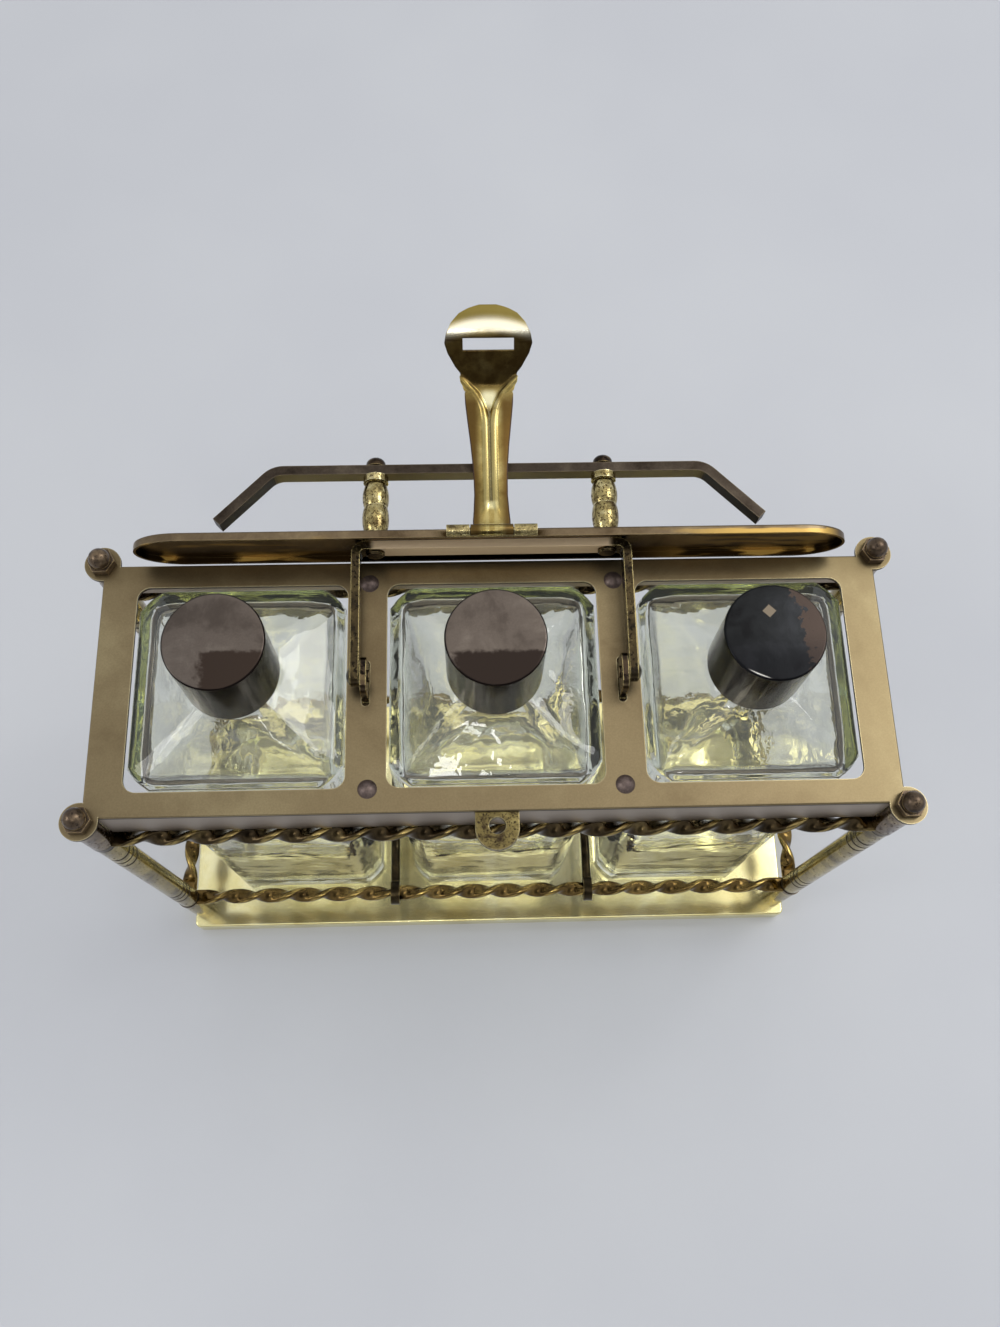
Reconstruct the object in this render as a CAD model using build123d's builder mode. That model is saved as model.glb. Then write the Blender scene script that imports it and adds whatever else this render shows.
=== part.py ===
from build123d import *
import math
import os

# Three-bottle tantalus: a brass frame holds three square glass decanters, and a bar that
# swings over their stoppers locks them in. Lengths are in mm. +X runs along the frame,
# +Y to its back and +Z up; the origin is on the surface it stands on, under its middle.
# It is drawn as it is found: bar swung back and open, hasp thrown up, bottles in place.

os.makedirs("parts", exist_ok=True)

# ---- Fits ---------------------------------------------------------------------------
running_fit = 0.06  # radial play of a turning pin
bolt_play = 0.10  # radial play of a rod, screw or rivet in its hole
loose_gap = 0.45  # free air between pieces that move past each other

# ---- Frame --------------------------------------------------------------------------
frame_height = 226.0  # top face of the top plate
plate_length = 300.0
plate_width = 99.5
plate_sheet = 1.5
plate_skirt = 23.0  # depth of the turned-down edge
plate_edge = 0.7  # rounding of the folded edge
lobe_radius = 7.0
post_out_x = 0.8  # post axis outside the plate's end
post_out_y = 1.0  # post axis outside the plate's front
end_land = 13.7  # plate beyond the outer apertures
web = 15.1  # plate between two apertures
aperture_corner = 5.0
rivet_inboard = 0.7  # rivets from the web's middle towards the frame's middle
rivet_inset = 8.95  # rivets from the plate's long edges
tray_rim_x = 5.0  # tray edge beyond the post axis
tray_rim_y = 9.5
tray_height = 10.4
tray_sheet = 1.4
tray_corner = 3.0
tray_edge = 1.1

aperture = (plate_length - 2 * end_land - 2 * web) / 3
bottle_pitch = aperture + web
web_middle = bottle_pitch / 2
rivet_x = web_middle - rivet_inboard
rivet_y = plate_width / 2 - rivet_inset
post_x = plate_length / 2 + post_out_x
post_y = plate_width / 2 + post_out_y
tray_length = 2 * (post_x + tray_rim_x)
tray_width = 2 * (post_y + tray_rim_y)
corners = {
    "front_left": (-post_x, -post_y),
    "front_right": (post_x, -post_y),
    "back_left": (-post_x, post_y),
    "back_right": (post_x, post_y),
}
post_points = list(corners.values())
bottle_points = {"left": -bottle_pitch, "middle": 0.0, "right": bottle_pitch}

# ---- Posts --------------------------------------------------------------------------
sleeve_radius = 5.3
shaft_radius = 5.0
foot_radius = 5.0
rod_radius = 2.0
rail_below_skirt = 4.5  # the skirt's lower edge to the upper rails' eyes
lower_joint = 174.8  # plate top down to the lower rails' eyes
eye_radius = 5.3
eye_thickness = 1.5
groove_width = 1.2
groove_depth = 0.5
groove_pitch = 6.0
groove_count = 3
groove_from_end = 19.0
nut_flats = 9.4
nut_height = 3.6
nut_neck_radius = 3.7
nut_neck_height = 1.6
nut_dome = 3.9  # height of the dome
nut_cup_radius = 4.1
base_nut_flats = 6.4
base_nut_height = 3.2
rod_end = 1.0  # rod past the nuts under the tray
sleeve_chamfer = 0.35

upper_joint = plate_skirt + rail_below_skirt
rod_hole = rod_radius + bolt_play
upper_eye_top = frame_height - upper_joint
upper_eye_bottom = upper_eye_top - 2 * eye_thickness
lower_eye_top = frame_height - lower_joint
lower_eye_bottom = lower_eye_top - 2 * eye_thickness

# ---- Rails --------------------------------------------------------------------------
rail_width = 7.2
rail_thick = 3.6
rail_start = 9.0  # post axis to the first twist
rail_half_twist = 16.7  # length of half a turn, about
divider_radius = 2.15
divider_eye_radius = 5.8
divider_eye_bore = 4.2

# ---- Staple for the padlock ---------------------------------------------------------
staple_width = 16.3
staple_thick = 3.2
staple_reach = 14.0  # from the plate's front to the tip
staple_hole = 3.0  # radius
staple_hole_back = 0.8  # hole centre behind the tip's centre
staple_leg = 12.0

# ---- Pivots of the bar --------------------------------------------------------------
pivot_height = 8.2  # above the plate
lug_outboard = 0.35  # lugs from the web's middle towards the frame's ends
lug_thick = 2.4
lug_width = 14.0
lug_top = 5.0  # above the pivot axis
lug_corner = 4.4
slot_width = 3.0
slot_length = 18.0
bracket_width = 12.0
bracket_thick = 2.0
bracket_end_gap = 2.25
pivot_radius = 1.5
pivot_head_radius = 3.3
pivot_head = 1.3
pivot_tail_radius = 2.3
pivot_tail = 0.9
rivet_radius = 1.65
rivet_head_radius = 3.6
rivet_head = 1.9
rivet_tail_radius = 2.8
rivet_tail = 0.9

lug_x = web_middle + lug_outboard

# ---- Locking bar, bail, pillars and handle ------------------------------------------
lid_open = 87.0  # degrees back from closed
bar_behind = 0.25  # the opened bar's lower face behind the plate's edge, along the arms
bar_width = 24.0
bar_short = 14.8  # tip of the bar to the axis of the posts beside it
bar_end = 18.5  # length of the bullet end
bar_depth = 3.4
bar_sheet = 1.0
bar_edge = 0.8
strap_width = 7.6
strap_thick = 3.3
strap_bend = 3.4
strap_end_radius = 3.8
screw_gap = 0.3  # screw heads in the trough clear of the bail's inner corners
pillar_height = 27.0
pillar_bulge = 5.1
handle_width = 6.4
handle_thick = 3.9
handle_straight = 83.5  # middle to the bend
handle_drop = 21.1  # the bent end reaches this far out and down
handle_bend = 9.0
screw_radius = 1.5
screw_head_radius = 3.9
screw_head = 2.4
screw_length = 9.0
bar_screw_head_radius = 3.6
bar_screw_head = 1.6

bar_half_length = post_x - bar_short
bar_low = plate_width / 2 + bar_behind
bar_top = bar_low + bar_depth
arm_inner = lug_x + lug_thick / 2 + loose_gap
arm_outer = arm_inner + strap_thick
pillar_x = arm_inner - (strap_bend - strap_thick / 2) - bar_screw_head_radius - screw_gap

# ---- Hasp and its hinge -------------------------------------------------------------
hasp_open = 141.0  # degrees from the engaged position
leaf_thick = 0.8
leaf_height = 2.3
knuckle_radius = 2.15
knuckle_half = 8.0  # half length of the hasp's own knuckle
knuckle_gap = 0.3
side_knuckle = 8.6
hinge_pin_radius = 1.0
hinge_drop = 2.15  # axis below the bar's outer face
hasp_thick = 1.6
hasp_slot_length = 19.4
hasp_slot_height = 4.4
hasp_head_gap = 0.75  # plate front to the hasp's inner face when it is engaged
hasp_head_rise = 16.1  # slot centre up to the bend between neck and head
hasp_lip_drop = 6.4
hasp_lip_out = 3.4
hasp_lip_length = 7.4
hasp_neck_bow = 2.2

# ---- Bottles and stoppers -----------------------------------------------------------
bottle_gap = 0.8  # air round a bottle in its aperture
bottle_chamfer = 8.5
bottle_wall = 5.0
bottle_base = 9.0
bottle_shoulder = 1.2  # the shoulder starts this far below the plate's top
shoulder_rise = 11.2
shoulder_side = 31.0
shoulder_chamfer = 9.0
neck_radius = 13.0
neck_height = 27.0
bore_radius = 9.6
bore_flare = 1.0  # the shoulder's inside is this much wider than the bore
cap_radius = 17.7
cap_height = 33.0
cap_wall = 1.2
cap_bottom = 14.0  # above the plate
cap_edge = 0.8
cork_disc_radius = 12.0
cork_length = 20.0

bottle_side = aperture - 2 * bottle_gap


def save(part, name):
    """Label a finished piece and write it to its STEP file."""
    part.label = name
    export_step(part, f"parts/{name}.step")


def crown(radius, rise):
    """Middle point of the arc over a round head, from (radius, 0) up to (0, rise)."""
    ball = (radius**2 + rise**2) / (2 * rise)
    half = math.asin(radius / ball) / 2
    return (ball * math.sin(half), ball * math.cos(half) - ball + rise)


# ---- Base tray ----------------------------------------------------------------------
tray_floor = tray_height - tray_sheet
with BuildPart() as base_tray:
    with BuildSketch():
        RectangleRounded(tray_length, tray_width, tray_corner)
    extrude(amount=tray_height)
    fillet(base_tray.faces().sort_by(Axis.Z)[-1].edges(), tray_edge)
    with BuildSketch():
        RectangleRounded(
            tray_length - 2 * tray_sheet, tray_width - 2 * tray_sheet, tray_corner - tray_sheet
        )
    extrude(amount=tray_floor, mode=Mode.SUBTRACT)
    with BuildSketch(Plane.XY.offset(tray_floor)):
        with Locations(*post_points):
            Circle(rod_hole)
    extrude(amount=tray_sheet, mode=Mode.SUBTRACT)
save(base_tray.part, "base_tray")

# ---- Top plate with its turned-down skirt -------------------------------------------
skirt_clear = sleeve_radius + loose_gap
skirt_front = 2 * (post_x - skirt_clear)
skirt_side = 2 * (post_y - skirt_clear)
skirt_y = plate_width / 2 - plate_sheet / 2
skirt_x = plate_length / 2 - plate_sheet / 2
plate_under = frame_height - plate_sheet
rivet_points = [(sx * rivet_x, sy * rivet_y) for sx in (-1, 1) for sy in (-1, 1)]
with BuildPart() as top_plate:
    with BuildSketch(Plane.XY.offset(plate_under)):
        Rectangle(plate_length, plate_width)
    extrude(amount=plate_sheet)
    with BuildSketch(Plane.XY.offset(frame_height - plate_skirt)):
        with Locations((0, -skirt_y), (0, skirt_y)):
            Rectangle(skirt_front, plate_sheet)
        with Locations((-skirt_x, 0), (skirt_x, 0)):
            Rectangle(plate_sheet, skirt_side)
    extrude(amount=plate_skirt)
    fillet(top_plate.faces().sort_by(Axis.Z)[-1].outer_wire().edges(), plate_edge)
    with BuildSketch(Plane.XY.offset(plate_under)):
        with Locations(*post_points):
            Circle(lobe_radius)
    extrude(amount=plate_sheet)
    with BuildSketch(Plane.XY.offset(plate_under)):
        with Locations(*post_points):
            Circle(rod_hole)
        with Locations(*[(x, 0) for x in bottle_points.values()]):
            RectangleRounded(aperture, aperture, aperture_corner)
        with Locations((-lug_x, 0), (lug_x, 0)):
            SlotOverall(slot_length, slot_width, rotation=90)
        with Locations(*rivet_points):
            Circle(rivet_radius + bolt_play)
    extrude(amount=plate_sheet, mode=Mode.SUBTRACT)
    with BuildSketch(Plane.XZ.offset(plate_width / 2)):
        with Locations((0, plate_under - staple_thick / 2)):
            Rectangle(staple_width, staple_thick)
    extrude(amount=-plate_sheet, mode=Mode.SUBTRACT)
save(top_plate.part, "top_plate")

# ---- Staple: a tongue through the front skirt, bent down behind it --------------------
staple_tip = -plate_width / 2 - staple_reach + staple_width / 2
staple_back = -plate_width / 2 + plate_sheet + staple_thick
staple_under = plate_under - staple_thick
with BuildPart() as padlock_staple:
    with BuildSketch(Plane.XY.offset(staple_under)):
        with Locations((0, (staple_tip + staple_back) / 2)):
            Rectangle(staple_width, staple_back - staple_tip)
        with Locations((0, staple_tip)):
            Circle(staple_width / 2)
        with Locations((0, staple_tip + staple_hole_back)):
            Circle(staple_hole, mode=Mode.SUBTRACT)
    extrude(amount=staple_thick)
    with BuildSketch(Plane.XY.offset(staple_under - staple_leg)):
        with Locations((0, staple_back - staple_thick / 2)):
            Rectangle(staple_width, staple_thick)
    extrude(amount=staple_leg)
save(padlock_staple.part, "padlock_staple")

# ---- Posts: upper sleeve, ringed shaft and foot on a tie rod --------------------------
tie_rod_top = frame_height + nut_height + nut_neck_height
tie_rod_bottom = tray_floor - base_nut_height - rod_end


def shaft_profile():
    """Half section of the ringed shaft: a straight side with three rings near each end."""
    bottom = lower_eye_top
    top = upper_eye_bottom
    side = [(rod_hole, bottom), (shaft_radius, bottom)]
    low_rings = [bottom + groove_from_end + i * groove_pitch for i in range(groove_count)]
    high_rings = [top - groove_from_end - i * groove_pitch for i in reversed(range(groove_count))]
    for z in low_rings + high_rings:
        side.append((shaft_radius, z - groove_width / 2))
        side.append((shaft_radius - groove_depth, z))
        side.append((shaft_radius, z + groove_width / 2))
    side += [(shaft_radius, top), (rod_hole, top)]
    return side


for corner, (x, y) in corners.items():
    axis = Axis((x, y, 0), (0, 0, 1))
    section = Plane(origin=(x, y, 0), x_dir=(1, 0, 0), z_dir=(0, -1, 0))
    with BuildPart() as upper_sleeve:
        with BuildSketch(Plane.XY.offset(upper_eye_top)):
            with Locations((x, y)):
                Circle(sleeve_radius)
                Circle(rod_hole, mode=Mode.SUBTRACT)
        extrude(amount=plate_under - upper_eye_top)
        chamfer(upper_sleeve.faces().sort_by(Axis.Z)[0].outer_wire().edges(), sleeve_chamfer)
    save(upper_sleeve.part, f"sleeve_{corner}")
    with BuildPart() as shaft:
        with BuildSketch(section):
            with BuildLine():
                Polyline(*shaft_profile(), close=True)
            make_face()
        revolve(axis=axis)
    save(shaft.part, f"post_{corner}")
    with BuildPart() as foot:
        with BuildSketch(Plane.XY.offset(tray_height)):
            with Locations((x, y)):
                Circle(foot_radius)
                Circle(rod_hole, mode=Mode.SUBTRACT)
        extrude(amount=lower_eye_bottom - tray_height)
        chamfer(foot.faces().sort_by(Axis.Z)[-1].outer_wire().edges(), sleeve_chamfer)
    save(foot.part, f"foot_{corner}")

with BuildPart() as tie_rods:
    with BuildSketch(Plane.XY.offset(tie_rod_bottom)):
        with Locations(*post_points):
            Circle(rod_radius)
    extrude(amount=tie_rod_top - tie_rod_bottom)
save(tie_rods.part, "tie_rods")

# ---- Nuts: domed ones on the plate, plain ones under the tray -------------------------
dome_base = tie_rod_top
with BuildPart() as acorn_nuts:
    with BuildSketch(Plane.XY.offset(frame_height)):
        with Locations(*post_points):
            RegularPolygon(nut_flats / 2, 6, major_radius=False)
    extrude(amount=nut_height)
    with BuildSketch(Plane.XY.offset(frame_height + nut_height)):
        with Locations(*post_points):
            Circle(nut_neck_radius)
    extrude(amount=nut_neck_height)
    for x, y in post_points:
        with BuildSketch(Plane(origin=(x, y, dome_base), x_dir=(1, 0, 0), z_dir=(0, -1, 0))):
            with BuildLine():
                Polyline((0, nut_dome), (0, 0), (nut_cup_radius, 0))
                ThreePointArc((nut_cup_radius, 0), crown(nut_cup_radius, nut_dome), (0, nut_dome))
            make_face()
        revolve(axis=Axis((x, y, 0), (0, 0, 1)))
    with BuildSketch(Plane.XY.offset(frame_height)):
        with Locations(*post_points):
            Circle(rod_hole)
    extrude(amount=tie_rod_top - frame_height, mode=Mode.SUBTRACT)
save(acorn_nuts.part, "acorn_nuts")

with BuildPart() as base_nuts:
    with BuildSketch(Plane.XY.offset(tray_floor - base_nut_height)):
        with Locations(*post_points):
            RegularPolygon(base_nut_flats / 2, 6, major_radius=False, rotation=30)
            Circle(rod_hole, mode=Mode.SUBTRACT)
    extrude(amount=base_nut_height)
save(base_nuts.part, "base_nuts")


# ---- Twisted rails, each with a flat eye round the post at both ends ------------------
def twisted_rail(start, end, eye_low):
    """A flat bar twisted left-handed between two flat eyes, from post axis to post axis."""
    span = (Vector(*end) - Vector(*start)).length
    way = (Vector(*end) - Vector(*start)).normalized()
    twist_length = span - 2 * rail_start
    half_turns = max(1, round(twist_length / rail_half_twist))
    middle = eye_low + eye_thickness / 2
    first = Vector(start[0], start[1], middle) + way * rail_start
    blank = Face.make_rect(rail_width, rail_thick, Plane(first, x_dir=Vector(0, 0, 1).cross(way), z_dir=way))
    strip = Solid.extrude_linear_with_rotation(blank, first, way * twist_length, -180 * half_turns)
    with BuildPart() as piece:
        with BuildSketch(Plane.XY.offset(eye_low)):
            with Locations(start, end):
                Circle(eye_radius)
            for root, sign in ((start, 1), (end, -1)):
                stub = Vector(*root) + way * (sign * rail_start / 2)
                with Locations(Location((stub.X, stub.Y), 0)):
                    if abs(way.X) > abs(way.Y):
                        Rectangle(rail_start, rail_width)
                    else:
                        Rectangle(rail_width, rail_start)
            with Locations(start, end):
                Circle(rod_hole, mode=Mode.SUBTRACT)
        extrude(amount=eye_thickness)
        add(strip)
    return piece.part


levels = {"upper": upper_eye_top, "lower": lower_eye_top}
for level, eye_top in levels.items():
    front_eye = eye_top - eye_thickness
    side_eye = eye_top - 2 * eye_thickness
    front = twisted_rail(corners["front_left"], corners["front_right"], front_eye)
    save(front, f"rail_{level}_front")
    back = twisted_rail(corners["back_left"], corners["back_right"], front_eye)
    save(back, f"rail_{level}_back")
    left = twisted_rail(corners["front_left"], corners["back_left"], side_eye)
    save(left, f"rail_{level}_left")
    right = twisted_rail(corners["front_right"], corners["back_right"], side_eye)
    save(right, f"rail_{level}_right")

# ---- Divider rods between the bottles, with an eye round the lower rails --------------
divider_z = lower_eye_top - eye_thickness / 2
divider_reach = post_y - (divider_eye_radius + divider_eye_bore) / 2
for name, x in (("divider_left", -web_middle), ("divider_right", web_middle)):
    with BuildPart() as divider:
        with BuildSketch(Plane.XZ.offset(-divider_reach)):
            with Locations((x, divider_z)):
                Circle(divider_radius)
        extrude(amount=2 * divider_reach)
        with BuildSketch(Plane.YZ.offset(x - divider_radius)):
            with Locations((-post_y, divider_z), (post_y, divider_z)):
                Circle(divider_eye_radius)
        extrude(amount=2 * divider_radius)
        with BuildSketch(Plane.YZ.offset(x - divider_radius)):
            with Locations((-post_y, divider_z), (post_y, divider_z)):
                Circle(divider_eye_bore)
        extrude(amount=2 * divider_radius, mode=Mode.SUBTRACT)
    save(divider.part, name)

# ---- Pivot brackets: straps riveted under the plate, with a lug up through each slot --
pivot_z = frame_height + pivot_height
bracket_low = plate_under - bracket_thick
bracket_length = plate_width - 2 * plate_sheet - 2 * bracket_end_gap
for name, side in (("pivot_bracket_left", -1), ("pivot_bracket_right", 1)):
    with BuildPart() as bracket:
        with BuildSketch(Plane.XY.offset(bracket_low)):
            with Locations((side * lug_x, 0)):
                Rectangle(bracket_width, bracket_length)
            with Locations((side * rivet_x, -rivet_y), (side * rivet_x, rivet_y)):
                Circle(rivet_radius + bolt_play, mode=Mode.SUBTRACT)
        extrude(amount=bracket_thick)
        with BuildSketch(Plane.YZ.offset(side * lug_x - lug_thick / 2)):
            with Locations((0, (bracket_low + pivot_z + lug_top) / 2)):
                Rectangle(lug_width, pivot_z + lug_top - bracket_low)
        extrude(amount=lug_thick)
        lug_ends = bracket.edges().filter_by(Axis.X).group_by(Axis.Z)[-1]
        fillet(lug_ends, lug_corner)
        with BuildSketch(Plane.YZ.offset(side * lug_x - lug_thick / 2)):
            with Locations((0, pivot_z)):
                Circle(pivot_radius)
        extrude(amount=lug_thick, mode=Mode.SUBTRACT)
    save(bracket.part, name)

with BuildPart() as plate_rivets:
    for x, y in rivet_points:
        section = Plane(origin=(x, y, frame_height), x_dir=(1, 0, 0), z_dir=(0, -1, 0))
        with BuildSketch(section):
            with BuildLine():
                low = bracket_low - frame_height
                Polyline(
                    (0, rivet_head),
                    (0, low - rivet_tail),
                    (rivet_tail_radius, low - rivet_tail),
                    (rivet_tail_radius, low),
                    (rivet_radius, low),
                    (rivet_radius, 0),
                    (rivet_head_radius, 0),
                )
                ThreePointArc(
                    (rivet_head_radius, 0), crown(rivet_head_radius, rivet_head), (0, rivet_head)
                )
            make_face()
        revolve(axis=Axis((x, y, 0), (0, 0, 1)))
save(plate_rivets.part, "plate_rivets")

# ---- Pivot pins: fast in the lugs, the bail's arms turn on them -----------------------
pin_start = lug_x - lug_thick / 2
pin_head_at = arm_outer + knuckle_gap
with BuildPart() as pivot_pins:
    for side in (-1, 1):
        with BuildSketch(Plane(origin=(0, 0, pivot_z), x_dir=(side, 0, 0), z_dir=(0, -side, 0))):
            with BuildLine():
                Polyline(
                    (pin_head_at + pivot_head, 0),
                    (pin_start - pivot_tail, 0),
                    (pin_start - pivot_tail, pivot_tail_radius),
                    (pin_start, pivot_tail_radius),
                    (pin_start, pivot_radius),
                    (pin_head_at, pivot_radius),
                    (pin_head_at, pivot_head_radius),
                )
                over, out = crown(pivot_head_radius, pivot_head)
                ThreePointArc(
                    (pin_head_at, pivot_head_radius), (pin_head_at + out, over), (pin_head_at + pivot_head, 0)
                )
            make_face()
        revolve(axis=Axis((0, 0, pivot_z), (1, 0, 0)))
save(pivot_pins.part, "pivot_pins")

# ---- Working planes of the opened bar -------------------------------------------------
# In its own frame the bar is closed: "up" runs from the pivots to the bar, "back" is +Y.
lean = math.radians(lid_open)
pivot = Vector(0, 0, pivot_z)
lid_up = Vector(0, math.sin(lean), math.cos(lean))
lid_back = Vector(0, math.cos(lean), -math.sin(lean))


def lid_plan(height):
    """Plane square to the arms, height above the pivots: local x is +X, local y is back."""
    return Plane(pivot + lid_up * height, x_dir=(1, 0, 0), z_dir=lid_up)


def lid_side(x):
    """Plane of constant x: local x is back, local y is up."""
    return Plane(pivot + Vector(x, 0, 0), x_dir=lid_back, z_dir=(1, 0, 0))


lid_front = Plane(pivot, x_dir=(1, 0, 0), z_dir=lid_back * -1)
screw_points = [(-pillar_x, 0), (pillar_x, 0)]

# ---- Locking bar: a shallow trough with bullet ends -----------------------------------
bar_straight = 2 * (bar_half_length - bar_end)
with BuildPart() as locking_bar:
    with BuildSketch(lid_plan(bar_low)):
        Rectangle(bar_straight, bar_width)
        with Locations((-bar_straight / 2, 0), (bar_straight / 2, 0)):
            Ellipse(bar_end, bar_width / 2)
    extrude(amount=bar_depth)
    bar_face = locking_bar.faces().sort_by(Axis(pivot, lid_up))[-1]
    fillet(bar_face.edges(), bar_edge)
    with BuildSketch(lid_plan(bar_low)):
        Rectangle(bar_straight, bar_width - 2 * bar_sheet)
        with Locations((-bar_straight / 2, 0), (bar_straight / 2, 0)):
            Ellipse(bar_end - bar_sheet, bar_width / 2 - bar_sheet)
    extrude(amount=bar_depth - bar_sheet, mode=Mode.SUBTRACT)
    with BuildSketch(lid_plan(bar_top - bar_sheet)):
        with Locations(*screw_points):
            Circle(screw_radius + bolt_play)
    extrude(amount=bar_sheet, mode=Mode.SUBTRACT)
save(locking_bar.part, "locking_bar")

# ---- Bail: a strap bent to a U, its crosspiece in the trough --------------------------
arm_middle = (arm_inner + arm_outer) / 2
strap_high = bar_top - bar_sheet
strap_middle = strap_high - strap_thick / 2
with BuildPart() as bail:
    with BuildLine(lid_front) as strap_line:
        FilletPolyline(
            (-arm_middle, 0),
            (-arm_middle, strap_middle),
            (arm_middle, strap_middle),
            (arm_middle, 0),
            radius=strap_bend,
        )
    with BuildSketch(Plane(strap_line.line @ 0, x_dir=(1, 0, 0), z_dir=strap_line.line % 0)):
        Rectangle(strap_thick, strap_width)
    sweep()
    for low in (-arm_outer, arm_inner):
        with BuildSketch(lid_side(low)):
            Circle(strap_end_radius)
        extrude(amount=strap_thick)
    for low in (-arm_outer, arm_inner):
        with BuildSketch(lid_side(low)):
            Circle(pivot_radius + running_fit)
        extrude(amount=strap_thick, mode=Mode.SUBTRACT)
    with BuildSketch(lid_plan(strap_high - strap_thick)):
        with Locations(*screw_points):
            Circle(screw_radius + bolt_play)
    extrude(amount=strap_thick, mode=Mode.SUBTRACT)
save(bail.part, "bail")

# ---- Turned pillars between the bar and the handle ------------------------------------
pillar_foot = 0.86 * pillar_bulge
pillar_waist = 0.88 * pillar_bulge
pillar_collar = 0.95 * pillar_bulge
pillar_neck = 0.72 * pillar_bulge
foot_ring = 0.07 * pillar_height
collar_ring = 0.10 * pillar_height
waist_at = 0.52 * pillar_height
low_bulge_at = 0.29 * pillar_height
high_bulge_at = 0.67 * pillar_height
for name, x in (("pillar_left", -pillar_x), ("pillar_right", pillar_x)):
    with BuildPart() as pillar:
        with BuildSketch(Plane(pivot + Vector(x, 0, 0) + lid_up * bar_top, x_dir=lid_back, z_dir=(1, 0, 0))):
            with BuildLine():
                Polyline(
                    (screw_radius + bolt_play, 0),
                    (pillar_foot, 0),
                    (pillar_foot, foot_ring),
                    (pillar_neck, foot_ring),
                )
                ThreePointArc(
                    (pillar_neck, foot_ring), (pillar_bulge, low_bulge_at), (pillar_waist, waist_at)
                )
                ThreePointArc(
                    (pillar_waist, waist_at),
                    (pillar_bulge, high_bulge_at),
                    (pillar_neck, pillar_height - collar_ring),
                )
                Polyline(
                    (pillar_neck, pillar_height - collar_ring),
                    (pillar_collar, pillar_height - collar_ring),
                    (pillar_collar, pillar_height),
                    (screw_radius + bolt_play, pillar_height),
                    (screw_radius + bolt_play, 0),
                )
            make_face()
        revolve(axis=Axis(pivot + Vector(x, 0, 0), lid_up))
    save(pillar.part, name)

# ---- Handle: a flat bar bent down at both ends ----------------------------------------
handle_low = bar_top + pillar_height
handle_middle = handle_low + handle_thick / 2
handle_end = handle_straight + handle_drop
with BuildPart() as handle_bar:
    with BuildLine(lid_front) as handle_line:
        FilletPolyline(
            (-handle_end, handle_middle - handle_drop),
            (-handle_straight, handle_middle),
            (handle_straight, handle_middle),
            (handle_end, handle_middle - handle_drop),
            radius=handle_bend,
        )
    with BuildSketch(Plane(handle_line.line @ 0, x_dir=lid_back, z_dir=handle_line.line % 0)):
        Rectangle(handle_width, handle_thick)
    sweep()
    with BuildSketch(lid_plan(handle_low)):
        with Locations(*screw_points):
            Circle(screw_radius + bolt_play)
    extrude(amount=handle_thick, mode=Mode.SUBTRACT)
save(handle_bar.part, "handle_bar")

# ---- Screws: two through the handle, two through the bail and the bar -----------------
handle_high = handle_low + handle_thick
with BuildPart() as handle_screws:
    for x in (-pillar_x, pillar_x):
        with BuildSketch(lid_side(x)):
            with BuildLine():
                Polyline(
                    (0, handle_high + screw_head),
                    (0, handle_low - screw_length),
                    (screw_radius, handle_low - screw_length),
                    (screw_radius, handle_high),
                    (screw_head_radius, handle_high),
                )
                over, out = crown(screw_head_radius, screw_head)
                ThreePointArc(
                    (screw_head_radius, handle_high), (over, handle_high + out), (0, handle_high + screw_head)
                )
            make_face()
        revolve(axis=Axis(pivot + Vector(x, 0, 0), lid_up))
save(handle_screws.part, "handle_screws")

strap_low = strap_high - strap_thick
with BuildPart() as bar_screws:
    with BuildSketch(lid_plan(strap_low - bar_screw_head)):
        with Locations(*screw_points):
            Circle(bar_screw_head_radius)
    extrude(amount=bar_screw_head)
    chamfer(bar_screws.faces().group_by(Axis(pivot, lid_up))[0].edges(), bar_screw_head / 3)
    with BuildSketch(lid_plan(strap_low)):
        with Locations(*screw_points):
            Circle(screw_radius)
    extrude(amount=bar_top + screw_length - strap_low)
save(bar_screws.part, "bar_screws")

# ---- Hinge leaf on the bar's front rim -------------------------------------------------
hinge_back = -(bar_width / 2 + leaf_thick + knuckle_gap + knuckle_radius)
hinge_up = bar_top - hinge_drop
hinge_axis = pivot + lid_up * hinge_up + lid_back * hinge_back
leaf_half = knuckle_half + knuckle_gap + side_knuckle
side_centre = knuckle_half + knuckle_gap + side_knuckle / 2
side_points = ((-leaf_half, side_knuckle), (leaf_half - side_knuckle, side_knuckle))
leaf_front = -bar_width / 2 - leaf_thick
with BuildPart() as hinge_leaf:
    with BuildSketch(lid_side(-leaf_half)):
        with Locations((leaf_front + leaf_thick / 2, hinge_up - leaf_thick / 4)):
            Rectangle(leaf_thick, leaf_height)
    extrude(amount=2 * leaf_half)
    for low, length in side_points:
        with BuildSketch(lid_side(low)):
            with Locations((hinge_back, hinge_up)):
                Circle(knuckle_radius)
            with Locations(((hinge_back + leaf_front) / 2, hinge_up)):
                Rectangle(leaf_front - hinge_back, leaf_thick * 2)
        extrude(amount=length)
    for low, length in side_points:
        with BuildSketch(lid_side(low)):
            with Locations((hinge_back, hinge_up)):
                Circle(hinge_pin_radius)
        extrude(amount=length, mode=Mode.SUBTRACT)
save(hinge_leaf.part, "hinge_leaf")

with BuildPart() as hinge_pin:
    with BuildSketch(lid_side(-leaf_half)):
        with Locations((hinge_back, hinge_up)):
            Circle(hinge_pin_radius)
    extrude(amount=2 * leaf_half)
save(hinge_pin.part, "hinge_pin")

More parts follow.
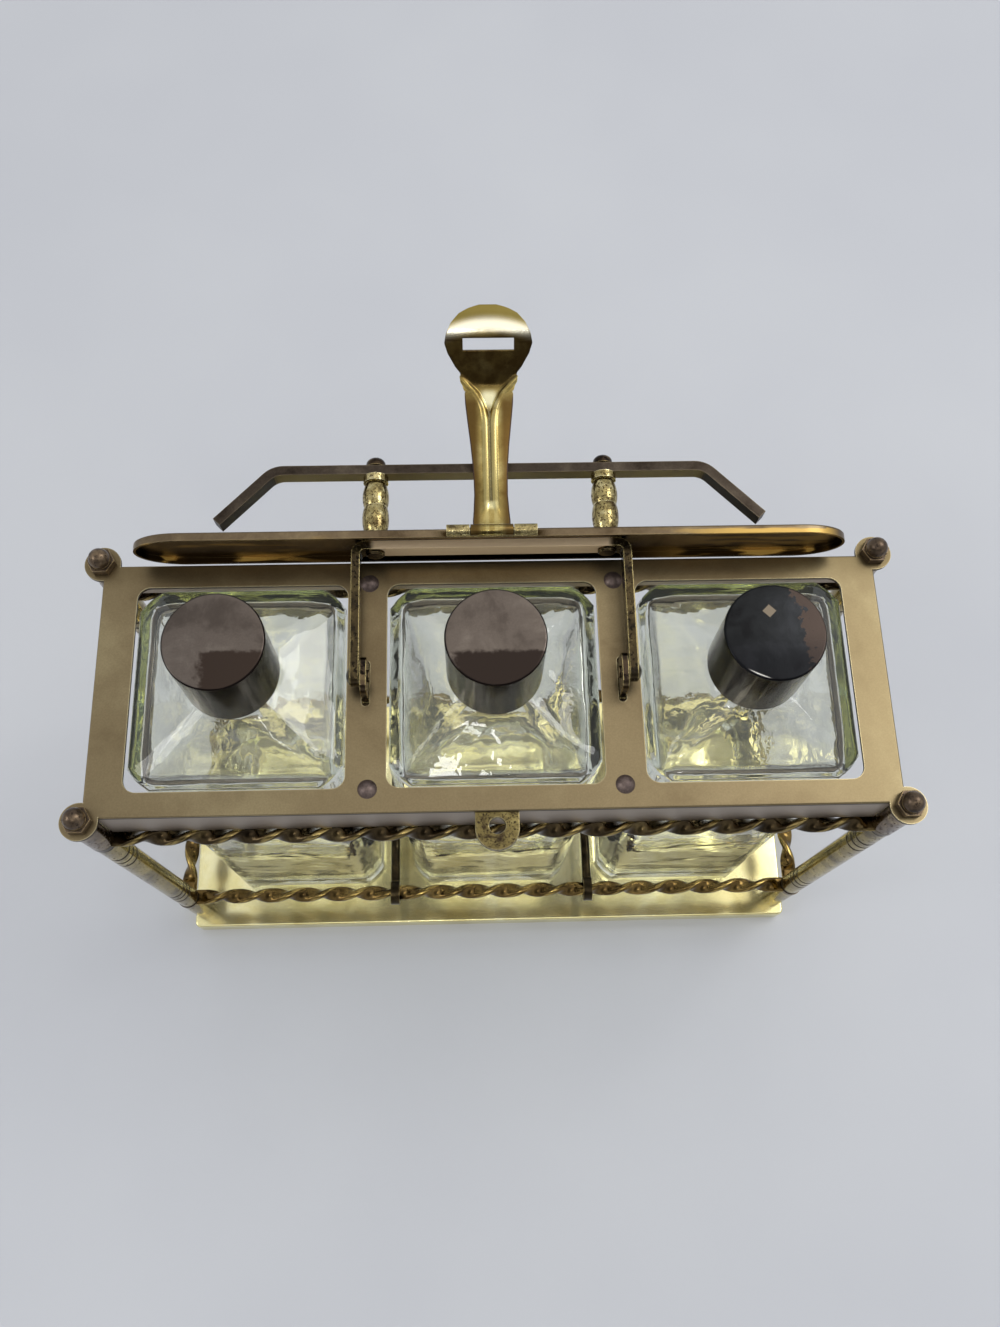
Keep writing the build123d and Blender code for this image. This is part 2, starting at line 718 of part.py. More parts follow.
# ---- Hasp: a stamped tongue, thrown up --------------------------------------------------
# Drawn engaged, in a plane turned about the hinge: local x is +Y and local y is +Z there.
throw = math.radians(lid_open + hasp_open)
hasp_back = Vector(0, math.cos(throw), -math.sin(throw))
hasp_up = Vector(0, math.sin(throw), math.cos(throw))
head_y = -plate_width / 2 - hasp_head_gap - hasp_thick / 2 - hinge_back
slot_z = plate_under - staple_thick / 2 - pivot_z - hinge_up
bend = (head_y, slot_z + hasp_head_rise)
bend_way = Vector(bend[0], bend[1]).normalized()
neck_middle = (bend[0] / 2 + bend_way.Y * hasp_neck_bow, bend[1] / 2 - bend_way.X * hasp_neck_bow)
lip = (head_y, slot_z - hasp_lip_drop)
tip = (head_y - hasp_lip_out, slot_z - hasp_lip_drop - hasp_lip_length)
chord = Vector(head_y, slot_z)
chord_length = chord.length
chord_way = (hasp_back * chord.X + hasp_up * chord.Y).normalized()
tip_along = (tip[0] * chord.X + tip[1] * chord.Y) / chord_length
# Half widths down the hasp, at shares of the way from the hinge axis to the slot.
neck_outline = ((0.05, 7.0), (0.17, 6.4), (0.38, 6.25), (0.52, 7.0), (0.68, 8.7), (0.80, 10.0))
head_outline = ((0.86, 11.5), (0.93, 15.2), (0.99, 17.0))


def hasp_side(x):
    """Plane of constant x in the hasp's own engaged frame."""
    return Plane(hinge_axis + Vector(x, 0, 0), x_dir=hasp_back, z_dir=(1, 0, 0))


hasp_face = Plane(hinge_axis, x_dir=(1, 0, 0), z_dir=Vector(1, 0, 0).cross(chord_way))
hasp_width = 2 * head_outline[-1][1]
right_side = [(w, t * chord_length) for t, w in neck_outline + head_outline]
left_side = [(-w, y) for w, y in reversed(right_side)]
with BuildPart() as hasp:
    with BuildSketch(hasp_side(-hasp_width / 2)):
        with BuildLine():
            neck_line = Spline((0, 0), neck_middle, bend)
            Polyline(bend, lip, tip)
        trace(line_width=hasp_thick)
    extrude(amount=hasp_width)
    with BuildSketch(hasp_face):
        with BuildLine():
            Line((-right_side[0][0], 0), (right_side[0][0], 0))
            Line((right_side[0][0], 0), right_side[0])
            Spline(*right_side)
            ThreePointArc(right_side[-1], (0, tip_along), left_side[0])
            Spline(*left_side)
            Line(left_side[-1], (-right_side[0][0], 0))
        make_face()
    extrude(amount=chord_length, both=True, mode=Mode.INTERSECT)
    with BuildSketch(hasp_side(-knuckle_half)):
        Circle(knuckle_radius)
    extrude(amount=2 * knuckle_half)
    with BuildSketch(hasp_side(-knuckle_half)):
        Circle(hinge_pin_radius + running_fit)
    extrude(amount=2 * knuckle_half, mode=Mode.SUBTRACT)
    slot_origin = hinge_axis + hasp_back * (head_y - hasp_thick) + hasp_up * slot_z
    with BuildSketch(Plane(slot_origin, x_dir=(1, 0, 0), z_dir=hasp_back)):
        Rectangle(hasp_slot_length, hasp_slot_height)
    extrude(amount=2 * hasp_thick, mode=Mode.SUBTRACT)
save(hasp.part, "hasp")

# ---- Bottles: thick square decanters with a pyramid shoulder ----------------------------
shoulder_z = frame_height - bottle_shoulder
neck_z = shoulder_z + shoulder_rise
neck_top = neck_z + neck_height
inner_side = bottle_side - 2 * bottle_wall
inner_chamfer = bottle_chamfer - bottle_wall * (2 - math.sqrt(2))
inner_neck_side = 2 * bore_radius + bore_flare
for place, x in bottle_points.items():
    with BuildPart() as bottle:
        with BuildSketch(Plane.XY.offset(tray_height)):
            with Locations((x, 0)):
                Rectangle(bottle_side, bottle_side)
        extrude(amount=shoulder_z - tray_height)
        chamfer(bottle.edges().filter_by(Axis.Z), bottle_chamfer)
        with BuildSketch(Plane.XY.offset(shoulder_z)) as shoulder_low:
            with Locations((x, 0)):
                Rectangle(bottle_side, bottle_side)
            chamfer(shoulder_low.vertices(), bottle_chamfer)
        with BuildSketch(Plane.XY.offset(neck_z)) as shoulder_high:
            with Locations((x, 0)):
                Rectangle(shoulder_side, shoulder_side)
            chamfer(shoulder_high.vertices(), shoulder_chamfer)
        loft(ruled=True)
        with BuildSketch(Plane.XY.offset(neck_z)):
            with Locations((x, 0)):
                Circle(neck_radius)
        extrude(amount=neck_height)
        with BuildSketch(Plane.XY.offset(tray_height + bottle_base)) as well:
            with Locations((x, 0)):
                Rectangle(inner_side, inner_side)
            chamfer(well.vertices(), inner_chamfer)
        extrude(amount=shoulder_z - tray_height - bottle_base - bottle_wall, mode=Mode.SUBTRACT)
        with BuildSketch(Plane.XY.offset(shoulder_z - bottle_wall)) as inner_low:
            with Locations((x, 0)):
                Rectangle(inner_side, inner_side)
            chamfer(inner_low.vertices(), inner_chamfer)
        with BuildSketch(Plane.XY.offset(neck_z - bottle_wall)) as inner_high:
            with Locations((x, 0)):
                Rectangle(inner_neck_side, inner_neck_side)
            chamfer(inner_high.vertices(), inner_neck_side / 4)
        loft(ruled=True, mode=Mode.SUBTRACT)
        with BuildSketch(Plane.XY.offset(neck_z - bottle_wall)):
            with Locations((x, 0)):
                Circle(bore_radius)
        extrude(amount=bottle_wall + neck_height, mode=Mode.SUBTRACT)
    save(bottle.part, f"bottle_{place}")

# ---- Stoppers: a metal cap over a cork -------------------------------------------------
cap_low = frame_height + cap_bottom
cap_top = cap_low + cap_height
for place, x in bottle_points.items():
    with BuildPart() as cap:
        with BuildSketch(Plane.XY.offset(cap_low)):
            with Locations((x, 0)):
                Circle(cap_radius)
        extrude(amount=cap_height)
        fillet(cap.faces().sort_by(Axis.Z)[-1].edges(), cap_edge)
        with BuildSketch(Plane.XY.offset(cap_low)):
            with Locations((x, 0)):
                Circle(cap_radius - cap_wall)
        extrude(amount=cap_height - cap_wall, mode=Mode.SUBTRACT)
    save(cap.part, f"cap_{place}")
    with BuildPart() as cork:
        with BuildSketch(Plane.XY.offset(neck_top)):
            with Locations((x, 0)):
                Circle(cork_disc_radius)
        extrude(amount=cap_top - cap_wall - neck_top)
        with BuildSketch(Plane.XY.offset(neck_top - cork_length)):
            with Locations((x, 0)):
                Circle(bore_radius - running_fit)
        extrude(amount=cork_length)
    save(cork.part, f"cork_{place}")
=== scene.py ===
import math

import bmesh
import bpy
from mathutils import Matrix, Vector


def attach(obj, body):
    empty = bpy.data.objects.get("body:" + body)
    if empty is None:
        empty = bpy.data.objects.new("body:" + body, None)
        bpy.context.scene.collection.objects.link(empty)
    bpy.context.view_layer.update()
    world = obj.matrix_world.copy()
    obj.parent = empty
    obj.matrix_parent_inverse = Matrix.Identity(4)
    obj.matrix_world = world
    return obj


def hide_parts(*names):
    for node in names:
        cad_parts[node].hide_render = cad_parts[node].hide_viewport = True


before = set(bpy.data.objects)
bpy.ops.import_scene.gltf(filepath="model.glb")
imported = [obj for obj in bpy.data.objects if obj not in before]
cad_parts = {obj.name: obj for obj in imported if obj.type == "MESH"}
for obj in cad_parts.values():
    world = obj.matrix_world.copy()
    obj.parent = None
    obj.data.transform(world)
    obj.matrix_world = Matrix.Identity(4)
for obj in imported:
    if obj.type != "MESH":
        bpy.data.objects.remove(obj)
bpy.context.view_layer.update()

# ---- Base tray ------------------------------------------------------------------------
# One sheet of brass with its edge turned down all round over a rounded fold. It is kept
# polished, so it is the palest and brightest metal of the frame, with fine rubbing marks.
# Its rounded edges are pale with wear and painted highlight.


def shade(red, green, blue):
    """A colour as it is seen on a screen, 0 to 255, for a shader."""
    parts = []
    for value in (red, green, blue):
        part = value / 255
        parts.append(part / 12.92 if part <= 0.04045 else ((part + 0.055) / 1.055) ** 2.4)
    return (*parts, 1.0)


def step(finish, kind, links, **settings):
    """Adds one node to a finish, with values or other nodes' outputs on its inputs."""
    node = finish.node_tree.nodes.new(kind)
    for name, value in settings.items():
        setattr(node, name, value)
    for name, value in links.items():
        if isinstance(value, bpy.types.NodeSocket):
            finish.node_tree.links.new(value, node.inputs[name])
        else:
            node.inputs[name].default_value = value
    return node


def clouds(finish, place, size, detail=4.0, harshness=0.6, warp=0.0):
    """Soft uneven patches of about that size, in metres."""
    noise = step(
        finish,
        "ShaderNodeTexNoise",
        {
            "Vector": place,
            "Scale": 1 / size,
            "Detail": detail,
            "Roughness": harshness,
            "Distortion": warp,
        },
    )
    return noise.outputs["Fac"]


def between(finish, value, low, high, start=0.0, end=1.0):
    """Spreads what lies from low to high over start to end."""
    spread = step(
        finish,
        "ShaderNodeMapRange",
        {"Value": value, "From Min": low, "From Max": high, "To Min": start, "To Max": end},
        interpolation_type="SMOOTHSTEP",
    )
    return spread.outputs["Result"]


def maths(finish, operation, first, second=0.0):
    """One step of arithmetic between two values."""
    result = step(finish, "ShaderNodeMath", {0: first, 1: second}, operation=operation)
    return result.outputs[0]


def both(finish, first, second):
    """Two masks or values multiplied: 1 only where both are."""
    return maths(finish, "MULTIPLY", first, second)


def off(finish, value, middle=0.0):
    """How far a value is from a middle, to either side."""
    return maths(finish, "ABSOLUTE", maths(finish, "SUBTRACT", value, middle))


def agreement(finish, way, other):
    """How far one direction agrees with another: 1 where they are the same."""
    product = step(finish, "ShaderNodeVectorMath", {0: way, 1: other}, operation="DOT_PRODUCT")
    return product.outputs["Value"]


def blended(finish, share, under, over, way="MIX"):
    """Two colours laid over one another."""
    mix = step(
        finish,
        "ShaderNodeMix",
        {0: share, 6: under, 7: over},
        data_type="RGBA",
        blend_type=way,
    )
    return mix.outputs[2]


def blank(name):
    """A new material with nothing in it yet."""
    finish = bpy.data.materials.new(name)
    finish.use_nodes = True
    finish.node_tree.nodes.clear()
    return finish


def brass(
    name,
    deep,
    body,
    bright,
    patch=0.02,
    gloss=(0.22, 0.4),
    grain=0.15,
    pits=0.0,
    pit_size=0.0016,
    worn_lit_edge_tone=None,
    worn_lit_edge_width=0.0005,
    worn_lit_edge_share=0.6,
    corner_darkening=0.5,
    relief=0.00005,
    bare=1.0,
):
    """Brass in three tones, with grain, pits, darkening in its corners, and edges made pale by wear and
    painted highlight.
    """
    finish = blank(name)
    place = step(finish, "ShaderNodeTexCoord", {}).outputs["Object"]
    cloud = clouds(finish, place, patch, 5.0, 0.62, 0.3)
    dark_half = blended(finish, between(finish, cloud, 0.32, 0.5), deep, body)
    colour = blended(finish, between(finish, cloud, 0.5, 0.68), dark_half, bright)
    dust = clouds(finish, place, 0.0007, 3.0, 0.7)
    grained = between(finish, dust, 0.3, 0.7, 1.0 - grain, 1.0 + grain)
    grain_tone = step(finish, "ShaderNodeCombineXYZ", {0: grained, 1: grained, 2: grained})
    colour = blended(finish, 1.0, colour, grain_tone.outputs[0], "MULTIPLY")
    rough = between(finish, clouds(finish, place, patch * 0.4, 4.0), 0.3, 0.7, *gloss)
    height = dust
    if pits:
        hollows = clouds(finish, place, pit_size, 2.0, 0.5, 0.5)
        pit_mask = between(finish, hollows, 0.62 - 0.2 * pits, 0.72 - 0.2 * pits)
        colour = blended(finish, pit_mask, colour, deep)
        rough = between(finish, pit_mask, 0.0, 1.0, gloss[0], 0.6)
        height = maths(finish, "SUBTRACT", dust, both(finish, pit_mask, 3.0))
    # Corners that ambient occlusion finds are darkened towards a deeper tone.
    if corner_darkening:
        corner = step(finish, "ShaderNodeAmbientOcclusion", {"Distance": 0.003}, samples=4)
        corner_dark = between(finish, corner.outputs["AO"], 0.75, 0.25, 0.0, corner_darkening)
        colour = blended(finish, corner_dark, colour, (deep[0] * 0.3, deep[1] * 0.28, deep[2] * 0.25, 1))
    # Edges that the bevel finds get a pale tone: wear, and painted highlight as well.
    if worn_lit_edge_tone:
        eased_normal = step(finish, "ShaderNodeBevel", {"Radius": worn_lit_edge_width}, samples=4)
        true_normal = step(finish, "ShaderNodeNewGeometry", {}).outputs["Normal"]
        likeness = agreement(finish, eased_normal.outputs["Normal"], true_normal)
        edge = between(finish, likeness, 0.995, 0.93)
        broken = between(finish, clouds(finish, place, 0.004, 3.0), 0.7 - worn_lit_edge_share, 0.75 - 0.5 * worn_lit_edge_share)
        worn_lit_edge = both(finish, edge, broken)
        colour = blended(finish, worn_lit_edge, colour, worn_lit_edge_tone)
        rough = between(finish, worn_lit_edge, 0.0, 1.0, sum(gloss) / 2, gloss[0] * 0.9) if not pits else rough
    bump = step(finish, "ShaderNodeBump", {"Height": height, "Strength": 0.5, "Distance": relief})
    metal = step(
        finish,
        "ShaderNodeBsdfPrincipled",
        {"Base Color": colour, "Metallic": bare, "Roughness": rough, "Normal": bump.outputs[0]},
        name="metal",
    )
    step(finish, "ShaderNodeOutputMaterial", {"Surface": metal.outputs[0]})
    return finish


def stained(finish, where, tone, sheen=None, bare=None):
    """Lays one more tone over a finish, by a mask from 0 to 1."""
    metal = finish.node_tree.nodes["metal"]
    under = metal.inputs["Base Color"].links[0].from_socket
    over = blended(finish, where, under, tone)
    finish.node_tree.links.new(over, metal.inputs["Base Color"])
    if sheen is not None:
        under = metal.inputs["Roughness"].links[0].from_socket
        mix = step(finish, "ShaderNodeMix", {0: where, 2: under, 3: sheen}, data_type="FLOAT")
        finish.node_tree.links.new(mix.outputs[0], metal.inputs["Roughness"])
    if bare is not None:
        kept = metal.inputs["Metallic"].default_value
        if metal.inputs["Metallic"].is_linked:
            kept = metal.inputs["Metallic"].links[0].from_socket
        mix = step(finish, "ShaderNodeMix", {0: where, 2: kept, 3: bare}, data_type="FLOAT")
        finish.node_tree.links.new(mix.outputs[0], metal.inputs["Metallic"])


def coat(finish, *names):
    """Gives CAD pieces their finish."""
    for name in names:
        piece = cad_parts[name]
        for slot in piece.material_slots:
            slot.link = "OBJECT"
            slot.material = finish


def axes_of(finish):
    """The place on the object, in metres, as x, y and z."""
    place = step(finish, "ShaderNodeTexCoord", {}).outputs["Object"]
    return step(finish, "ShaderNodeSeparateXYZ", {0: place}).outputs


tray_brass = brass(
    "tray_polished_brass",
    shade(214, 200, 134),
    shade(238, 227, 166),
    shade(247, 240, 192),
    patch=0.03,
    gloss=(0.10, 0.20),
    grain=0.05,
    worn_lit_edge_tone=shade(253, 248, 218),
    worn_lit_edge_width=0.0012,
    corner_darkening=0.35,
    relief=0.00001,
    bare=0.85,
)
coat(tray_brass, "base_tray")

# ---- Tie rods and the nuts under the tray ---------------------------------------------
# A plain brass rod runs down the middle of each post, from a hexagon nut under the tray to
# the domed nut on the plate, and draws the whole frame together. Dull, never polished.
nut_bronze = brass(
    "dark_nut_bronze",
    shade(52, 42, 34),
    shade(86, 72, 58),
    shade(120, 102, 80),
    patch=0.006,
    gloss=(0.30, 0.44),
    pits=0.15,
    pit_size=0.001,
    worn_lit_edge_tone=shade(176, 152, 106),
    worn_lit_edge_width=0.0004,
    worn_lit_edge_share=0.45,
    bare=0.8,
)
coat(nut_bronze, "tie_rods", "base_nuts")

# ---- Posts ----------------------------------------------------------------------------
# Each post is three brass tubes on its tie rod: a plain foot, a shaft with three turned
# rings near each end and an upper sleeve. Old lacquer has gone grey on the sides.
post_brass = brass(
    "post_brass",
    shade(96, 84, 56),
    shade(146, 130, 82),
    shade(186, 168, 106),
    patch=0.012,
    gloss=(0.12, 0.24),
    grain=0.14,
    pits=0.12,
    pit_size=0.001,
    worn_lit_edge_tone=shade(214, 196, 136),
    worn_lit_edge_width=0.0004,
)
sleeve_brass = brass(
    "sleeve_brass",
    shade(78, 64, 54),
    shade(112, 96, 78),
    shade(150, 132, 98),
    patch=0.008,
    gloss=(0.16, 0.3),
    grain=0.18,
    pits=0.2,
    pit_size=0.0012,
    worn_lit_edge_tone=shade(206, 188, 132),
    worn_lit_edge_width=0.0004,
)
post_height = axes_of(post_brass)[2]
for ring in (0.0702, 0.0762, 0.0822, 0.1645, 0.1705, 0.1765):
    off_ring = off(post_brass, post_height, ring)
    stained(post_brass, between(post_brass, off_ring, 0.0011, 0.0005), shade(40, 30, 20), 0.5, 0.4)
for joint in (0.0515, 0.1952):
    off_joint = off(post_brass, post_height, joint)
    stained(post_brass, between(post_brass, off_joint, 0.0024, 0.0010), shade(48, 38, 26), 0.5, 0.4)
corners = ("front_left", "front_right", "back_left", "back_right")
for corner in corners:
    coat(post_brass, "foot_" + corner, "post_" + corner)
    coat(sleeve_brass, "sleeve_" + corner)

# ---- Twisted rails --------------------------------------------------------------------
# Flat bronze bars with rounded edges, twisted left-handed between two flat eyes that are
# threaded on the tie rods. The broad faces are dark, and the edges gold with wear and
# painted highlight. The upper rails are painted darker, as painted shade under the plate,
# and the lower rails lighter, as painted light from the tray.
post_x = 0.1508
post_y = 0.05075
rail_wide = 0.0072
rail_thick = 0.0036
rail_plain = 0.009
eye_radius = 0.0053
eye_thick = 0.0015
rod_hole = 0.0021
upper_eye = 0.1985
lower_eye = 0.0512
edge_round = 0.0015


def clear_hand():
    """Leaves edit mode and selects nothing, so that an operator acts on one piece alone."""
    if bpy.context.object and bpy.context.object.mode != "OBJECT":
        bpy.ops.object.mode_set(mode="OBJECT")
    bpy.ops.object.select_all(action="DESELECT")


def take(piece):
    """Makes one piece the only one in hand."""
    clear_hand()
    piece.select_set(True)
    bpy.context.view_layer.objects.active = piece


def choose(kind, wanted):
    """In edit mode, selects the faces, edges or vertices that are wanted, by their place."""
    bpy.ops.mesh.select_mode(type={"faces": "FACE", "edges": "EDGE", "verts": "VERT"}[kind])
    bpy.ops.mesh.select_all(action="DESELECT")
    shape = bmesh.from_edit_mesh(bpy.context.object.data)
    for element in getattr(shape, kind):
        if wanted(element):
            element.select_set(True)
    shape.select_flush_mode()
    bmesh.update_edit_mesh(bpy.context.object.data)


def settle(piece):
    """Puts a piece's place in its mesh, and leaves its object at the origin."""
    take(piece)
    bpy.ops.object.transform_apply(location=True, rotation=True, scale=True)


def apply_all(piece):
    """Applies a piece's modifiers, in their order."""
    take(piece)
    for modifier in list(piece.modifiers):
        bpy.ops.object.modifier_apply(modifier=modifier.name)


def keep_flat_place(piece):
    """Keeps where each point was before the twist, for the gold edges of the finish: wear and painted
    highlight.
    """
    place = piece.data.attributes.new("flat_place", "FLOAT_VECTOR", "POINT")
    for point, kept in zip(piece.data.vertices, place.data):
        kept.vector = point.co


def twisted_bar(span, half_turns):
    """A rounded flat bar along x, plain at its ends and twisted left-handed between them."""
    clear_hand()
    half = span / 2 - eye_radius * 0.8
    bpy.ops.mesh.primitive_cube_add(size=1, scale=(2 * half, rail_thick, rail_wide))
    bar = bpy.context.object
    settle(bar)
    bpy.ops.object.mode_set(mode="EDIT")
    choose("edges", lambda edge: abs(edge.verts[0].co.x - edge.verts[1].co.x) > half)
    bpy.ops.mesh.bevel(offset=edge_round, segments=4, affect="EDGES")
    choose("edges", lambda edge: abs(edge.verts[0].co.x - edge.verts[1].co.x) > half)
    bpy.ops.mesh.subdivide(number_cuts=14 if span > 0.2 else 7)
    choose("edges", lambda edge: abs(edge.verts[0].co.x - edge.verts[1].co.x) > 0.001)
    bpy.ops.mesh.subdivide(number_cuts=15 if span > 0.2 else 11)
    choose("edges", lambda edge: abs(edge.verts[0].co.z - edge.verts[1].co.z) > rail_wide / 2)
    bpy.ops.mesh.subdivide(number_cuts=4)
    bpy.ops.object.mode_set(mode="OBJECT")
    keep_flat_place(bar)
    twist = bar.modifiers.new("twist", "SIMPLE_DEFORM")
    twist.deform_method = "TWIST"
    twist.deform_axis = "X"
    twist.angle = rail_hand * math.pi * half_turns
    plain_share = (rail_plain - eye_radius * 0.8) / (2 * half)
    twist.limits = (plain_share, 1 - plain_share)
    apply_all(bar)
    bpy.ops.object.mode_set(mode="EDIT")
    flat_from = span / 2 - rail_plain + 0.0002
    choose("verts", lambda vert: abs(vert.co.x) > flat_from)
    bpy.ops.transform.resize(value=(1, 1, eye_thick / rail_thick), center_override=(0, 0, 0))
    bpy.ops.object.mode_set(mode="OBJECT")
    return bar


def flat_eye(x):
    """A flat ring that lies round a tie rod, at x on the bar's own axis."""
    clear_hand()
    bpy.ops.mesh.primitive_circle_add(
        vertices=48, radius=rod_hole, fill_type="NOTHING", location=(x, 0, -eye_thick / 2)
    )
    eye = bpy.context.object
    settle(eye)
    bpy.ops.object.mode_set(mode="EDIT")
    bpy.ops.mesh.select_all(action="SELECT")
    bpy.ops.mesh.extrude_edges_move()
    wider = eye_radius / rod_hole
    bpy.ops.transform.resize(value=(wider, wider, 1), center_override=(x, 0, 0))
    bpy.ops.mesh.select_all(action="SELECT")
    bpy.ops.mesh.extrude_region_move(TRANSFORM_OT_translate={"value": (0, 0, eye_thick)})
    bpy.ops.mesh.select_all(action="SELECT")
    bpy.ops.mesh.normals_make_consistent(inside=False)
    bpy.ops.object.mode_set(mode="OBJECT")
    keep_flat_place(eye)
    return eye


def joined(pieces, name):
    """Joins pieces into the first of them."""
    clear_hand()
    for piece in pieces:
        piece.select_set(True)
    bpy.context.view_layer.objects.active = pieces[0]
    bpy.ops.object.join()
    pieces[0].name = name
    pieces[0].data.name = name
    return pieces[0]


def rail_copy(pattern, name, place, turned, body, finish):
    """A copy of a rail with its own mesh, laid in its place on the frame."""
    piece = pattern.copy()
    piece.data = pattern.data.copy()
    bpy.context.collection.objects.link(piece)
    piece.name = name + "_bar"
    piece.location = place
    piece.rotation_euler = (0, 0, math.pi / 2 if turned else 0)
    settle(piece)
    bpy.ops.object.shade_smooth_by_angle(angle=math.radians(50))
    piece.data.materials.clear()
    piece.data.materials.append(finish)
    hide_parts(name)
    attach(piece, body)
    return piece


def rail_bronze(name, deep, body, bright, gold):
    """Dark bronze of a twisted bar, with gold along its two edges: wear, and painted highlight."""
    finish = brass(name, deep, body, bright, patch=0.01, gloss=(0.14, 0.26), grain=0.12, corner_darkening=0.55)
    flat = step(finish, "ShaderNodeAttribute", {}, attribute_name="flat_place").outputs["Vector"]
    flat_z = step(finish, "ShaderNodeSeparateXYZ", {0: flat}).outputs[2]
    from_middle = off(finish, flat_z)
    streaks = step(finish, "ShaderNodeMapping", {"Vector": flat, "Scale": (0.25, 1, 1)})
    uneven = clouds(finish, streaks.outputs[0], 0.0016, 3.0)
    shifted = both(finish, maths(finish, "SUBTRACT", uneven, 0.5), 0.0018)
    reach = maths(finish, "ADD", from_middle, shifted)
    # The gold band along both edges stands for wear and is a painted highlight too.
    stained(finish, between(finish, reach, 0.0033, 0.0037), gold, 0.2)
    return finish


rail_hand = -1
# The upper rails get a darker copy of the bronze, as painted shade under the plate, and the lower rails a
# lighter copy, as painted light from the tray.
shaded_upper_rail = rail_bronze(
    "rail_bronze_painted_shade",
    shade(40, 33, 24),
    shade(66, 55, 38),
    shade(98, 84, 56),
    shade(158, 138, 88),
)
lit_lower_rail = rail_bronze(
    "rail_bronze_painted_light",
    shade(66, 52, 30),
    shade(104, 84, 48),
    shade(140, 116, 68),
    shade(172, 148, 88),
)
long_rail = joined(
    [twisted_bar(2 * post_x, 17), flat_eye(-post_x), flat_eye(post_x)],
    "long_rail",
)
short_rail = joined(
    [twisted_bar(2 * post_y, 5), flat_eye(-post_y), flat_eye(post_y)],
    "short_rail",
)
for level, eye_top in (("upper", upper_eye), ("lower", lower_eye)):
    long_z = eye_top - eye_thick / 2
    short_z = long_z - eye_thick
    for side, place, turned, pattern in (
        ("front", (0, -post_y, long_z), False, long_rail),
        ("back", (0, post_y, long_z), False, long_rail),
        ("left", (-post_x, 0, short_z), True, short_rail),
        ("right", (post_x, 0, short_z), True, short_rail),
    ):
        rail_name = "rail_" + level + "_" + side
        rail_finish = shaded_upper_rail if level == "upper" else lit_lower_rail
        rail_copy(pattern, rail_name, place, turned, "frame", rail_finish)
clear_hand()
bpy.data.objects.remove(long_rail)
bpy.data.objects.remove(short_rail)

# ---- Dividers -------------------------------------------------------------------------
# Two plain round bronze rods between the bottles, at the level of the lower rails. Each
# ends in an eye that is closed round the rail.


def eased(name, body, edge, finish, angle=32):
    """A copy of a CAD piece with its sharp edges taken off, which then stands for it."""
    piece = bpy.data.objects.new(name + "_eased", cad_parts[name].data.copy())
    bpy.context.collection.objects.link(piece)
    piece.data.name = piece.name
    take(piece)
    bpy.ops.object.mode_set(mode="EDIT")
    bpy.ops.mesh.select_all(action="SELECT")
    bpy.ops.mesh.remove_doubles(threshold=0.000002)
    bpy.ops.mesh.dissolve_limited(angle_limit=math.radians(0.6))
    bpy.ops.object.mode_set(mode="OBJECT")
    bpy.ops.mesh.customdata_custom_splitnormals_clear()
    round_off = piece.modifiers.new("edges", "BEVEL")
    round_off.width = edge
    round_off.segments = 2
    round_off.limit_method = "ANGLE"
    round_off.angle_limit = math.radians(angle)
    apply_all(piece)
    bpy.ops.object.shade_smooth_by_angle(angle=math.radians(40))
    flatten = piece.modifiers.new("shading", "WEIGHTED_NORMAL")
    flatten.keep_sharp = True
    apply_all(piece)
    piece.data.materials.clear()
    piece.data.materials.append(finish)
    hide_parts(name)
    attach(piece, body)
    return piece


# The rods are painted darker than the lower rails: painted shade between the bottles.
divider_bronze = brass(
    "divider_bronze",
    shade(28, 24, 18),
    shade(54, 46, 32),
    shade(88, 76, 50),
    patch=0.012,
    gloss=(0.25, 0.4),
    worn_lit_edge_tone=shade(150, 132, 84),
)
for name in ("divider_left", "divider_right"):
    eased(name, "frame", 0.0006, divider_bronze)

# ---- Top plate ------------------------------------------------------------------------
# Brass sheet with three square apertures and a round lobe at each corner, its edges folded
# down into a skirt. Satin, khaki where the lacquer has aged. Painted shade and reflection of
# the bar darken it along the back, painted shade darkens the right end, and the skirt is
# painted mauve-grey as a reflection.
plate_brass = brass(
    "plate_satin_brass",
    shade(116, 101, 75),
    shade(133, 118, 89),
    shade(148, 134, 102),
    patch=0.06,
    gloss=(0.30, 0.40),
    grain=0.07,
    worn_lit_edge_tone=shade(204, 192, 152),
    worn_lit_edge_width=0.0005,
    worn_lit_edge_share=0.7,
    corner_darkening=0.4,
    relief=0.00001,
)
plate_axes = axes_of(plate_brass)
# Painted shade and reflection of the bar, along the back of the plate.
back_shade_and_reflection = between(plate_brass, plate_axes[1], 0.038, 0.049, 0.0, 0.35)
stained(plate_brass, back_shade_and_reflection, shade(84, 70, 44))
# Painted shade towards the right end.
right_end_shade = between(plate_brass, plate_axes[0], 0.085, 0.15, 0.0, 0.3)
stained(plate_brass, right_end_shade, shade(100, 90, 62))
# The skirt below the top, painted mauve-grey as a reflection.
skirt_reflection = between(plate_brass, plate_axes[2], 0.2246, 0.2238)
stained(plate_brass, skirt_reflection, shade(154, 140, 124))
fold_shadow = both(
    plate_brass,
    between(plate_brass, plate_axes[2], 0.2239, 0.2243),
    between(plate_brass, plate_axes[2], 0.2255, 0.2251),
)
stained(plate_brass, fold_shadow, shade(46, 34, 24), 0.5, 0.5)
eased("top_plate", "frame", 0.0002, plate_brass)

